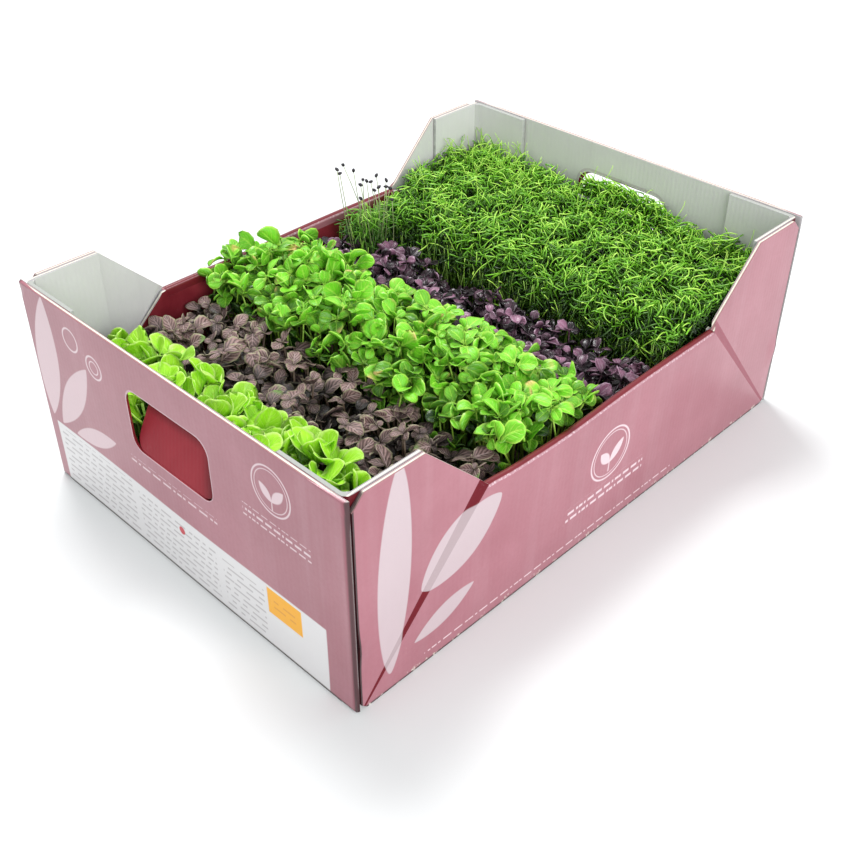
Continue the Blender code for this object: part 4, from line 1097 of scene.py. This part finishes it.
def curly_paths(count, length, steps, curl, rng):
    """Paths from 0 that bend as they grow: each step turns the last about a slowly changing random axis."""
    yaw, rise = rng.uniform(0, TURN, count), rng.uniform(-0.2, 1.35, count)
    run = np.stack([np.cos(yaw) * np.cos(rise), np.sin(yaw) * np.cos(rise), np.sin(rise)], axis=-1)
    axis = rng.normal(0, 1, run.shape)
    axis /= np.linalg.norm(axis, axis=1, keepdims=True)
    paths = [np.zeros((count, 3))]
    for _ in range(steps):
        axis = axis + rng.normal(0, 0.35, run.shape)
        axis /= np.linalg.norm(axis, axis=1, keepdims=True)
        run = run + np.cross(axis, run) * curl[:, None] + np.array([0, 0, 0.05])
        run /= np.linalg.norm(run, axis=-1, keepdims=True)
        paths.append(paths[-1] + run * (length / steps)[:, None])
    return np.stack(paths, axis=1)


def clear_of_flap(batch):
    """The lowest Y that each leaf may reach: more where it would meet the front hand hole's flap."""
    points = batch["points"]
    near = np.abs(points[..., 0]).min(axis=1) < FLAP["half"] + 0.004
    near &= points[..., 2].min(axis=1) < 0.114
    return np.where(near, 0.0185 - INNER_Y, 0.0008 - INNER_Y)[:, None]


def bunches(start):
    """The CAD nodes whose names begin in that way. A frame without them stops the script."""
    found = sorted(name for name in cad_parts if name.startswith(start))
    if not found:
        raise RuntimeError(f"The frame has no node whose name begins with {start}")
    return found


def row_bounds(row, lean):
    """The least and greatest Y of a row's leaves, which lean past the row's own ends by lean."""
    low = -FREE_Y + ROW_PITCH * row + lean[0]
    return max(low, -INNER_Y + PLAY), min(low - lean[0] + ROW_PITCH + lean[1], INNER_Y - PLAY)


# What a user may change


def color_setting(name, description, default):
    return FloatVectorProperty(name=name, description=description, default=default, size=3, subtype="COLOR",
                               min=0.0, max=1.0)


def length_setting(name, description, default, low, high):
    return FloatProperty(name=name, description=description, default=default, min=low, max=high,
                         unit="LENGTH")


class CrateLook(bpy.types.PropertyGroup):
    # The outside print and the lining are one print: the outside's colours hold a painted reflection that washes
    # the deep burgundy to mauve, and the lining's keep it deep, as in the shade.
    print_color: color_setting("Print", "Colour of the printed outside", (0.342, 0.117, 0.150))
    print_light: color_setting("Light print", "Lighter blotches of the print", (0.405, 0.158, 0.196))
    # Dark print is also painted shade at the walls' upright ends and along the cut edges.
    print_dark: color_setting("Dark print", "Darker specks of the print", (0.240, 0.060, 0.085))
    # Pale print is also a painted highlight along the low walls' fold and round the hand holes.
    pale_print: color_setting("Pale print", "Leaves, rings and rules in the print", (0.840, 0.700, 0.740))
    side_pale: color_setting("Pale side print", "Leaves in the side walls' print", (0.560, 0.500, 0.525))
    lining_color: color_setting("Lining", "Colour of the folded-in lining and flaps", (0.165, 0.012, 0.020))
    lining_light: color_setting("Light lining", "Lighter blotches of the lining", (0.270, 0.030, 0.042))
    board_color: color_setting("Board", "Colour of the plain inside", (0.665, 0.655, 0.662))
    board_light: color_setting("Light board", "Lighter blotches of the plain inside", (0.715, 0.708, 0.715))
    # Dark board is also painted shade in the corner angles' folds.
    board_dark: color_setting("Dark board", "Streaks of the plain inside", (0.520, 0.515, 0.520))
    edge: color_setting("Cut edge", "Colour of the board's cut edges", (0.780, 0.740, 0.640))
    edge_dark: color_setting("Stained edge", "Stains along the cut edges", (0.520, 0.450, 0.360))
    shaded_edge: color_setting("Shaded edge", "Cut edges that stand in the shade", (0.700, 0.700, 0.700))
    # Painted shade: the dark colour at the lower edges and in the gaps of the corners.
    gap_color: color_setting("Gaps", "Colour of the worn lower edges and the gaps", (0.035, 0.010, 0.012))
    strip: color_setting("Strip", "The pale strip on the end walls", (0.740, 0.730, 0.735))
    sticker: color_setting("Sticker", "The plain sticker on the end walls", (0.900, 0.420, 0.002))
    edge_rounding: length_setting("Edge rounding", "Rounding of the board's cut edges", 0.0003, 0.0, 0.001)


class PlantLook(bpy.types.PropertyGroup):
    seed: IntProperty(name="Seed", description="Which draw of the plants' places is used", default=7, min=0)
    round_length: length_setting("Round leaf length", "Length of the pale round leaves", 0.0232, 0.01, 0.08)
    brown_length: length_setting("Brown leaf length", "Length of the wrinkled brown leaves", 0.0160, 0.01, 0.05)
    oval_length: length_setting("Oval leaf length", "Length of the oval green leaves", 0.0168, 0.008, 0.05)
    purple_length: length_setting("Purple leaf length", "Length of the small purple leaves", 0.0098,
                                  0.005, 0.03)
    threads: IntProperty(name="Threads", description="Curly threads in each bunch of the last two rows",
                         default=2100, min=10, max=3000)
    thread_radius: length_setting("Thread radius", "Radius of a thread at its foot", 0.00062, 0.0001, 0.001)


class StageLook(bpy.types.PropertyGroup):
    floor: color_setting("Floor", "Colour of the floor", (0.78, 0.80, 0.80))
    sky: FloatProperty(name="Surrounding light", description="Strength of the light from all around",
                       default=0.70, min=0.0, max=5.0)
    key: FloatProperty(name="Key light", description="Power of the large soft light", default=34.0,
                       min=0.0, max=500.0, unit="POWER")
    fill: FloatProperty(name="Fill light", description="Power of the light on the near corner", default=24.0,
                        min=0.0, max=500.0, unit="POWER")


# Operators


class Builder:
    """What the operators share. Each row or bunch of plants has random draws of its own."""

    bl_options = {"REGISTER", "UNDO"}

    def random(self, plants, number):
        return np.random.default_rng((plants.seed, number))


def made(maker, look):
    """The material of that maker, made once. No CAD material has a maker's name."""
    return bpy.data.materials.get(maker.__name__) or maker(look)


def crate_materials(look, printed):
    """The printed outside, the plain inside and the cut edge of a board."""
    return [made(maker, look) for maker in (printed, board_inside, cut_edge)]


class MICROGREENS_OT_end_walls(Builder, bpy.types.Operator):
    """Builds the two tall end walls with their hand holes"""

    bl_idname = "microgreens.end_walls"
    bl_label = "End Walls"

    def execute(self, context):
        crate = context.scene.crate_look
        materials = crate_materials(crate, end_print)
        materials += [made(lining_print, crate), made(corner_shade, crate)]
        for name, end in ENDS.items():
            add_piece(f"end_board_{name}", [end_wall(end)], materials, [f"end_wall_{name}"],
                      BOARD_SHARP, crate.edge_rounding)
        return {"FINISHED"}


class MICROGREENS_OT_side_walls(Builder, bpy.types.Operator):
    """Builds the two side walls, with the fold along their low middle, and their linings"""

    bl_idname = "microgreens.side_walls"
    bl_label = "Side Walls"

    def execute(self, context):
        crate = context.scene.crate_look
        outside = crate_materials(crate, side_print)
        inside = crate_materials(crate, lining_print)
        outside += [made(crease_print, crate), made(corner_shade, crate)]
        for name, side in SIDES.items():
            add_piece(f"side_board_{name}", [side_wall(side)], outside,
                      [f"side_wall_{name}"], BOARD_SHARP)
            add_piece(f"lining_board_{name}", [side_lining(side)], inside,
                      [f"side_lining_{name}"], BOARD_SHARP, crate.edge_rounding)
        return {"FINISHED"}


class MICROGREENS_OT_flaps(Builder, bpy.types.Operator):
    """Builds the flaps that are pushed in from the hand holes"""

    bl_idname = "microgreens.flaps"
    bl_label = "Flaps"

    def execute(self, context):
        crate = context.scene.crate_look
        materials = crate_materials(crate, lining_print)
        for name, end in ENDS.items():
            add_piece(f"flap_board_{name}", [flap(end)], materials,
                      [f"hand_hole_flap_{name}"], BOARD_SHARP, crate.edge_rounding)
        return {"FINISHED"}


class MICROGREENS_OT_corner_angles(Builder, bpy.types.Operator):
    """Builds the four pale corner angles"""

    bl_idname = "microgreens.corner_angles"
    bl_label = "Corner Angles"

    def execute(self, context):
        crate = context.scene.crate_look
        outside, plain, edge = crate_materials(crate, lining_print)
        materials = [plain, outside, edge, made(shaded_edge, crate)]
        for end_name, end in ENDS.items():
            for side_name, side in SIDES.items():
                name = f"{end_name}_{side_name}"
                add_piece(f"angle_board_{name}", [corner_angle(side, end)], materials,
                          [f"corner_angle_{name}"], ANGLE_SHARP, crate.edge_rounding)
        return {"FINISHED"}


class MICROGREENS_OT_trays(Builder, bpy.types.Operator):
    """Finishes the crate's floor, the growing trays and their mats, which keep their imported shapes"""

    bl_idname = "microgreens.trays"
    bl_label = "Floor, Trays and Mats"

    def execute(self, context):
        plain = made(board_inside, context.scene.crate_look)
        finishes = (("crate_floor", plain), ("growing_tray", tray_plastic()),
                    ("growing_mat", matted_fibre()))
        for start, material in finishes:
            for name in bunches(start):
                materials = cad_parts[name].data.materials
                materials.clear()
                materials.append(material)
        return {"FINISHED"}


class MICROGREENS_OT_round_leaves(Builder, bpy.types.Operator):
    """Grows the first row: upright fans of pale, cupped, rounded leaves"""

    bl_idname = "microgreens.round_leaves"
    bl_label = "Round Leaves"

    def execute(self, context):
        plants = context.scene.plant_look
        rng = self.random(plants, 1)
        low, high = row_bounds(0, (0, -0.008))
        upper = scatter(25, 2, (-0.118, 0.132), (low + 0.011, high - 0.008), rng)
        lower = scatter(20, 3, (-0.122, 0.130), (low + 0.009, high - 0.006), rng)
        crowns = np.concatenate([upper, lower])
        under = np.arange(len(crowns)) >= len(upper)
        ends = smoothstep(0.0, 0.045, crowns[:, 0] + 0.122) * smoothstep(0.0, 0.03, 0.136 - crowns[:, 0])
        height = 0.078 + 0.015 * ends + 0.003 * lumps(crowns, 0.05, 3)
        height = height + rng.uniform(-0.006, 0.004, len(crowns))
        base, yaw = around(np.column_stack([crowns, height - 0.013 * under]), 4, rng, 0.7)
        rise = rng.uniform(0.70, 1.5, len(base))
        length = plants.round_length * rng.uniform(0.72, 1.12, len(base)) * np.repeat(1 - 0.25 * under, 4)
        by_hole = np.array([(-0.048, -0.190, 0.078), (-0.056, -0.187, 0.088), (-0.050, -0.187, 0.096)])
        base, length = np.concatenate([base, by_hole]), np.append(length, (0.022, 0.020, 0.018))
        yaw, rise = np.append(yaw, (-1.9, -1.3, -1.6)), np.append(rise, (1.2, 1.3, 1.2))
        blades = leaves(base, yaw, rise, length, ROUND, rng)
        # Painted light: the leaves seen through the front hand hole are painted fully lit.
        blades["tone_and_shade"][-len(by_hole):] = 1.0
        blades = keep_inside(blades, clear_of_flap(blades), high, 0.128)
        stalks = kind_stems(blades["points"][::2, 2], ROUND, rng)
        materials = [leaf_paint("pale_leaf", (0.012, 0.095, 0.001), (0.370, 0.780, 0.022),
                                (0.640, 0.920, 0.230), (0.540, 0.880, 0.110), veins=6.0, relief=0.0005,
                                gloss=(0.26, 0.40)),
                     stem_paint("pale_stem", (0.100, 0.260, 0.020), (0.460, 0.740, 0.140))]
        add_piece("round_leaves", [blades, stalks], materials,
                  bunches("round_leaf_bunch"))
        return {"FINISHED"}


class MICROGREENS_OT_brown_leaves(Builder, bpy.types.Operator):
    """Grows the second row: low stems with wrinkled brown-purple leaves"""

    bl_idname = "microgreens.brown_leaves"
    bl_label = "Brown Leaves"

    def execute(self, context):
        plants = context.scene.plant_look
        rng = self.random(plants, 2)
        low, high = row_bounds(1, (-0.007, -0.004))
        tops = scatter(30, 8, (-0.131, 0.131), (low + 0.005, high - 0.005), rng)
        tops = clumped(tops, 0.026, 11, -0.60)
        height = 0.086 + 0.006 * lumps(tops, 0.05, 4) + rng.uniform(-0.014, 0.006, len(tops))
        tops = np.column_stack([tops, height])
        base, yaw = around(tops, 4, rng, 0.25)
        big = np.tile([1.0, 0.50, 0.85, 0.45], len(tops)) * rng.uniform(0.70, 1.12, len(base))
        rise = rng.uniform(-0.15, 0.85, len(base))
        length = plants.brown_length * big * np.where(rng.uniform(0, 1, len(base)) < 0.6, 0.82, 1.0)
        blades = keep_inside(leaves(base, yaw, rise, length, WRINKLED, rng), low, high, WRINKLED["ceiling"])
        stalks = kind_stems(tops, WRINKLED, rng)
        materials = [leaf_paint("brown_leaf", (0.004, 0.003, 0.002), (0.350, 0.215, 0.200),
                                (0.400, 0.400, 0.230), (0.480, 0.350, 0.340), veins=5.0, relief=0.0009,
                                gloss=(0.44, 0.56), patch=0.8, flush=(0.160, 0.340, 0.060), groove=0.70,
                                spread=(0.20, 0.86)),
                     stem_paint("brown_stem", (0.040, 0.015, 0.015), (0.160, 0.110, 0.070))]
        add_piece("brown_leaves", [blades, stalks], materials,
                  bunches("brown_leaf_bunch"))
        return {"FINISHED"}


class MICROGREENS_OT_oval_leaves(Builder, bpy.types.Operator):
    """Grows the third row: tall stems with whorls of oval green leaves"""

    bl_idname = "microgreens.oval_leaves"
    bl_label = "Oval Leaves"

    def execute(self, context):
        plants = context.scene.plant_look
        materials = [leaf_paint("green_leaf", (0.002, 0.026, 0.001), (0.205, 0.670, 0.026),
                                (0.540, 0.920, 0.120), (0.480, 0.880, 0.100), veins=5.0, relief=0.0006,
                                gloss=(0.26, 0.40), patch=0.6, flush=(0.80, 0.50, 0.20), spread=(0.12, 0.80),
                                stalk=0.8),
                     stem_paint("green_stem", (0.020, 0.080, 0.006), (0.460, 0.760, 0.090))]
        nodes = bunches("oval_leaf_bunch")
        edges = np.linspace(-0.141, 0.137, len(nodes) + 1)
        for number, node in enumerate(nodes):
            rng = self.random(plants, 30 + number)
            batches = self.grow(edges[number:number + 2], plants.oval_length, rng)
            add_piece(node.replace("bunch", "sprays"), batches, materials, [node])
        return {"FINISHED"}

    def grow(self, room, leaf_length, rng):
        """One bunch: a dome across the row of upper whorls, and lower ones that fill it."""
        low, high = row_bounds(2, (-0.016, 0.006))
        upper = clumped(scatter(7, 9, room, (low + 0.003, high - 0.003), rng), 0.024, 12, -0.40)
        tops = np.concatenate([upper, scatter(4, 6, room, (low + 0.002, high - 0.004), rng)])
        under = np.arange(len(tops)) >= len(upper)
        dome = 1 - 0.6 * (np.abs(tops[:, 1] - (low + high) / 2) / (high - low) * 2) ** 2
        height = 0.085 + 0.033 * dome + 0.005 * lumps(tops, 0.06, 5) - rng.uniform(0, 0.016, len(tops))
        height -= 0.013 * under
        height -= 0.004 * smoothstep(-0.10, -0.14, tops[:, 0])
        tops = np.column_stack([tops, height])
        base, yaw = around(tops, 5, rng)
        big = np.tile([1.0, 0.58, 0.9, 0.50, 0.75], len(tops)) * rng.uniform(0.65, 1.15, len(base))
        big *= np.where(rng.uniform(0, 1, len(base)) < 0.08, 1.45, 1.0)
        rise = rng.uniform(-0.15, 1.2, len(base))
        blades = leaves(base, yaw, rise, leaf_length * big, OVAL, rng)
        return [keep_inside(blades, low, high, OVAL["ceiling"], OVAL["over"]), kind_stems(tops, OVAL, rng)]


class MICROGREENS_OT_purple_leaves(Builder, bpy.types.Operator):
    """Grows the fourth row: low stems with small, glossy, dark purple leaves"""

    bl_idname = "microgreens.purple_leaves"
    bl_label = "Purple Leaves"

    def execute(self, context):
        plants = context.scene.plant_look
        rng = self.random(plants, 4)
        low, high = row_bounds(3, (0.003, -0.002))
        tops = scatter(32, 9, (-0.126, 0.133), (low + 0.003, high - 0.003), rng)
        tops = clumped(tops, 0.018, 13, -0.45)
        height = 0.085 + 0.005 * lumps(tops, 0.04, 6) + rng.uniform(-0.011, 0.005, len(tops))
        tops = np.column_stack([tops, height])
        base, yaw = around(tops, 4, rng)
        rise = rng.uniform(-0.2, 1.0, len(base))
        length = plants.purple_length * rng.uniform(0.65, 1.15, len(base))
        blades = keep_inside(leaves(base, yaw, rise, length, SMALL, rng), low, high, SMALL["ceiling"])
        stalks = kind_stems(tops, SMALL, rng)
        materials = [leaf_paint("purple_leaf", (0.003, 0.001, 0.002), (0.300, 0.130, 0.215),
                                (0.520, 0.360, 0.470), (0.420, 0.250, 0.350), veins=4.0, relief=0.0005,
                                gloss=(0.20, 0.34), patch=0.9, spread=(0.50, 0.96), coat=0.2),
                     stem_paint("purple_stem", (0.020, 0.006, 0.014), (0.120, 0.045, 0.070), gloss=0.3)]
        add_piece("purple_leaves", [blades, stalks], materials,
                  bunches("purple_leaf_bunch"))
        return {"FINISHED"}


class MICROGREENS_OT_chives(Builder, bpy.types.Operator):
    """Grows the thin chives with dark seeds at the left end of the fourth row"""

    bl_idname = "microgreens.chives"
    bl_label = "Chives"

    def execute(self, context):
        rng = self.random(context.scene.plant_look, 5)
        low, high = row_bounds(3, (-0.002, 0.003))
        count, rings, root = 16, 9, MAT_TOP - ROOT_DEPTH
        roots = np.column_stack([rng.uniform(-0.128, -0.100, count), rng.uniform(0.046, 0.062, count),
                                 np.full(count, root)])
        heads = np.column_stack([rng.uniform(-0.118, -0.086, count), rng.uniform(0.014, 0.068, count),
                                 np.zeros(count)])
        order = np.argsort(heads[:, 1] + rng.normal(0, 0.012, count))
        heads[order, 2] = np.linspace(0.1535, 0.126, count)
        stems = stems_to(heads, roots, 0.00036, rng, rings, 3, 0.005, 0)
        stems = keep_inside(stems, low, high + 0.004, 0.154, 0.007)
        tips = stems["points"].reshape(count, rings, 3, 3)[:, -1].mean(axis=1)
        hang = rng.normal(0, 1, tips.shape)
        hang *= 0.0018 / np.linalg.norm(hang, axis=1, keepdims=True)
        husk = np.array([0.0002, 0.0008, 0.0011, 0.0012, 0.0011, 0.0008, 0.0002])
        seeds = tips[:, None] + hang[:, None] * np.linspace(-1, 1, len(husk))[:, None]
        seeds = tubes(seeds, husk, 6, rng, 1)
        places = scatter(16, 12, (-0.131, -0.100), (0.040, 0.063), rng)
        curls = curly_paths(len(places), rng.uniform(0.012, 0.026, len(places)), 8,
                            rng.uniform(0.05, 0.40, len(places)), rng)
        curls[..., :2] += (places - curls[..., :2].mean(axis=1))[:, None]
        tops = rng.uniform(0.092, 0.116, len(places)) - 0.010 * smoothstep(-0.116, -0.131, places[:, 0])
        curls[..., 2] += (tops - curls[..., 2].max(axis=1))[:, None]
        tuft = tubes(curls, np.linspace(1.0, 0.6, 9) * 0.00055, 3, rng, 2)
        tuft = keep_inside(tuft, low, high + 0.004, 0.120)
        # Painted shade: the tuft is darker lower down.
        tone_and_shade = (tuft["points"][..., 2] - 0.092) / 0.024 + rng.normal(0, 0.2, (len(places), 1))
        tuft["tone_and_shade"] = np.clip(tone_and_shade, 0, 1)
        places = places[::2]
        tops = np.column_stack([places, rng.uniform(0.088, 0.104, len(places))])
        roots = np.column_stack([places, np.full(len(places), root)])
        shafts = stems_to(tops, roots, 0.0005, rng, 6, 3, 0.003, 2)
        materials = [stem_paint("chive_stem", (0.100, 0.130, 0.040), (0.480, 0.560, 0.280)), seed_paint(),
                     stem_paint("chive_tuft", (0.002, 0.020, 0.001), (0.190, 0.560, 0.020),
                                (0.420, 0.740, 0.110), 0.22, 0.36)]
        add_piece("chives", [stems, seeds, tuft, shafts], materials, bunches("chive_bunch"))
        return {"FINISHED"}


class MICROGREENS_OT_threads(Builder, bpy.types.Operator):
    """Grows the last two rows: dense, fine green threads, which stand nearly to the back hole's rim"""

    bl_idname = "microgreens.threads"
    bl_label = "Threads"

    def execute(self, context):
        plants = context.scene.plant_look
        materials = [stem_paint("thread_green", (0.001, 0.013, 0.001), (0.225, 0.650, 0.019),
                                (0.500, 0.840, 0.110), 0.22, 0.32),
                     stem_paint("thread_stem", (0.080, 0.200, 0.025), (0.300, 0.520, 0.080))]
        for row, lean in ((4, (-0.002, 0.004)), (5, (-0.004, 0.004))):
            nodes = bunches(f"thread_row_{row + 1}")
            edges = np.linspace(-0.138, 0.138, len(nodes) + 1)
            for number, node in enumerate(nodes):
                x_range = edges[number] - 0.002, edges[number + 1] + 0.002
                batches = self.grow(row, x_range, row_bounds(row, lean), plants,
                                    self.random(plants, 10 * row + number))
                add_piece(node.replace("bunch", "tuft"), batches, materials, [node])
        return {"FINISHED"}

    def grow(self, row, x_range, y_range, plants, rng):
        """One bunch: each thread hangs from a roof over the row, a little deeper or shallower, and may curl.

        The roof is a sine across the two rows with soft hills. In front of the back hole, threads are lifted to
        end a little under the hole's rim, as seen along a line of sight with that slope. A few threads are
        wisps that stand out of the roof, and strays hang from the front of the first of these rows.
        """
        slope, wall = 1.05, HALF_Y - BOARD
        side = math.ceil(math.sqrt(plants.threads))
        places = scatter(side, side, x_range, (y_range[0] + 0.003, y_range[1] - 0.003), rng)
        if row == 5:
            more = scatter(36, 9, x_range, (y_range[1] - 0.011, y_range[1] - 0.003), rng)
            more = more[np.abs(more[:, 0] - HOLE["x"] - (wall - more[:, 1])) < 0.036]
            places = np.concatenate([places, more])
        count = len(places)
        x, y = places.T
        across = np.clip((y - 0.063) / (FREE_Y - 0.063), 0, 1)
        roof = 0.109 + 0.008 * np.sin(math.pi * across ** 0.6) + 0.0045 * lumps(places, 0.030, 8)
        roof = roof + 0.009 * across ** 3
        roof -= 0.020 * smoothstep(-0.112, -0.134, x) * smoothstep(0.125, 0.085, y)
        depth = rng.uniform(0, 0.021, count)
        gap = wall - y
        beside = np.abs(x - HOLE["x"] - gap)
        hole = smoothstep(0.016, 0.010, gap) * smoothstep(0.043, 0.036, beside)
        corner = 0.010 - np.sqrt(1e-4 - np.clip(beside - HOLE["width"] / 2 + 0.010, 0, 0.010) ** 2)
        rim = HOLE["z"] + HOLE["height"] / 2 - 0.7 * corner
        roof = roof + (rim - 0.004 + gap - roof) * hole
        front = smoothstep(0.012, 0.0, y - y_range[0]) * (row == 4)
        depth = depth + front * rng.uniform(0, 0.020, count)
        wisps = rng.uniform(0, 1, count) < 0.008 + 0.08 * (x < -0.06) * (y > 0.15)
        depth = np.where(wisps, -rng.uniform(0.001, 0.012, count), depth)
        length = rng.uniform(0.009, 0.019, count)
        stray = rng.uniform(0, 1, count) < 0.12 * front
        length = np.where(stray, length + 0.012, length)
        paths = curly_paths(count, length, 7, rng.uniform(0.03, 0.38, count), rng)
        tall = np.maximum(np.ptp(paths[..., 2], axis=1), 0.003)
        paths[..., 2] *= np.where(wisps, np.maximum((0.006 - depth) / tall, 1), 1)[:, None]
        middle = (paths.max(axis=1) + paths.min(axis=1)) / 2
        paths[..., :2] += (places - middle[:, :2])[:, None]
        paths[..., 2] += (roof - depth - paths[..., 2].max(axis=1))[:, None]
        seen = (paths[..., 2] - slope * (wall - paths[..., 1])).max(axis=1)
        lift = rim - rng.uniform(0.0032, 0.0180, count) - seen
        paths[..., 2] += (hole * (1 - wisps) * lift)[:, None]
        slim = np.where(wisps, 0.6, rng.uniform(0.8, 1.2, count))[:, None]
        threads = tubes(paths, np.linspace(1.0, 0.6, 8) * plants.thread_radius * slim, 3, rng, 0)
        threads = keep_inside(threads, -INNER_Y, INNER_Y - 0.0008, 0.150)
        # Painted shade: threads darken with depth under the roof, and the strays are painted fully lit.
        reach = 0.0098 + 0.012 * front + 0.006 * smoothstep(0.155, 0.190, y)
        sunk = (roof[:, None] - threads["points"][..., 2]) / reach[:, None]
        tone_and_shade = 1.0 - sunk + rng.normal(0, 0.22, (count, 1))
        threads["tone_and_shade"] = np.clip(np.where(stray[:, None], 1.0, tone_and_shade), 0, 1)
        stalks = places[rng.permutation(count)[: count // 4]]
        heads = np.column_stack([stalks, rng.uniform(0.085, 0.104, len(stalks))])
        stems = stems_to(heads, root_under(heads, row, 0.85, rng), 0.0005, rng, 6, 3, 0.003)
        return [threads, keep_inside(stems, *y_range, 0.14)]


class MICROGREENS_OT_stage(Builder, bpy.types.Operator):
    """Sets the plain pale floor, the soft lights and the camera"""

    bl_idname = "microgreens.stage"
    bl_label = "Stage"

    def execute(self, context):
        look = context.scene.stage_look
        self.floor(context.scene, look)
        self.lights(context.scene, look)
        self.camera(context.scene)
        return {"FINISHED"}

    def floor(self, scene, look):
        """A square of paper, 8 m wide, just below the crate."""
        paint = Paint("floor_paper")
        cloud = paint.noise(paint.place()[0], 3.0, 2.0, 0.5)
        tint = tuple(look.floor)
        color = paint.mix(cloud, tint, tuple(part * 0.985 for part in tint))
        mesh = bpy.data.meshes.new("floor")
        corners = [(x, y, -0.0002) for x, y in ((-4, -4), (4, -4), (4, 4), (-4, 4))]
        mesh.from_pydata(corners, [], [(0, 1, 2, 3)])
        mesh.materials.append(paint.finish(color, cloud * 0.05 + 0.8))
        floor = bpy.data.objects.new("floor", mesh)
        scene.collection.objects.link(floor)

    def lights(self, scene, look):
        """Even light from all around, and two square lamps that face the crate's origin."""
        world = bpy.data.worlds.new("soft surroundings")
        world.use_nodes = True
        world.node_tree.nodes["Background"].inputs["Color"].default_value = (0.98, 0.99, 1.0, 1)
        world.node_tree.nodes["Background"].inputs["Strength"].default_value = look.sky
        scene.world = world
        for name, power, place, size in (("key", look.key, (-0.8, 0.35, 1.8), 0.8),
                                         ("fill", look.fill, (1.6, -0.5, 0.9), 1.2)):
            lamp = bpy.data.lights.new(name, "AREA")
            lamp.energy = power
            lamp.size = size
            item = bpy.data.objects.new(name, lamp)
            item.location = place
            item.rotation_euler = Vector(place).to_track_quat("Z", "Y").to_euler()
            scene.collection.objects.link(item)
        scene.view_settings.view_transform = "Standard"

    def camera(self, scene):
        """The camera at the photograph's angle: its own right, up and back directions, and its place."""
        lens = bpy.data.cameras.new("camera")
        lens.lens = 48.995
        lens.sensor_width = 36.0
        lens.clip_start = 0.01
        camera = bpy.data.objects.new("camera", lens)
        right = (0.71170663, 0.70247678, -0.00022754)
        up = (-0.42129243, 0.42708695, 0.80006839)
        back = (0.56212664, -0.56931811, 0.59990876)
        turn = Matrix((right, up, back)).transposed().to_4x4()
        camera.matrix_world = Matrix.Translation((0.44717226, -0.45651283, 0.4865642)) @ turn
        scene.collection.objects.link(camera)
        scene.camera = camera


OPERATORS = (
    MICROGREENS_OT_end_walls, MICROGREENS_OT_side_walls, MICROGREENS_OT_flaps, MICROGREENS_OT_corner_angles,
    MICROGREENS_OT_trays, MICROGREENS_OT_round_leaves, MICROGREENS_OT_brown_leaves,
    MICROGREENS_OT_oval_leaves, MICROGREENS_OT_purple_leaves, MICROGREENS_OT_chives, MICROGREENS_OT_threads,
    MICROGREENS_OT_stage,
)


class MICROGREENS_PT_panel(bpy.types.Panel):
    """Lists the settings, and the pieces in the order in which they are built"""

    bl_idname = "MICROGREENS_PT_panel"
    bl_label = "Microgreens Tray"
    bl_space_type = "VIEW_3D"
    bl_region_type = "UI"
    bl_category = "Microgreens"

    def draw(self, context):
        for settings in (context.scene.crate_look, context.scene.plant_look, context.scene.stage_look):
            box = self.layout.box()
            for name in settings.__annotations__:
                box.prop(settings, name)
        for operator in OPERATORS:
            self.layout.operator(operator.bl_idname)


LOOKS = {"crate_look": CrateLook, "plant_look": PlantLook, "stage_look": StageLook}
CLASSES = (*LOOKS.values(), *OPERATORS, MICROGREENS_PT_panel)


def register():
    for item in CLASSES:
        bpy.utils.register_class(item)
    for name, look in LOOKS.items():
        setattr(bpy.types.Scene, name, PointerProperty(type=look))


def unregister():
    for name in LOOKS:
        delattr(bpy.types.Scene, name)
    for item in reversed(CLASSES):
        bpy.utils.unregister_class(item)


def main():
    register()
    for operator in OPERATORS:
        group, name = operator.bl_idname.split(".")
        if getattr(getattr(bpy.ops, group), name)() != {"FINISHED"}:
            raise RuntimeError(f"{operator.bl_label} didn't finish")


if __name__ == "__main__":
    main()
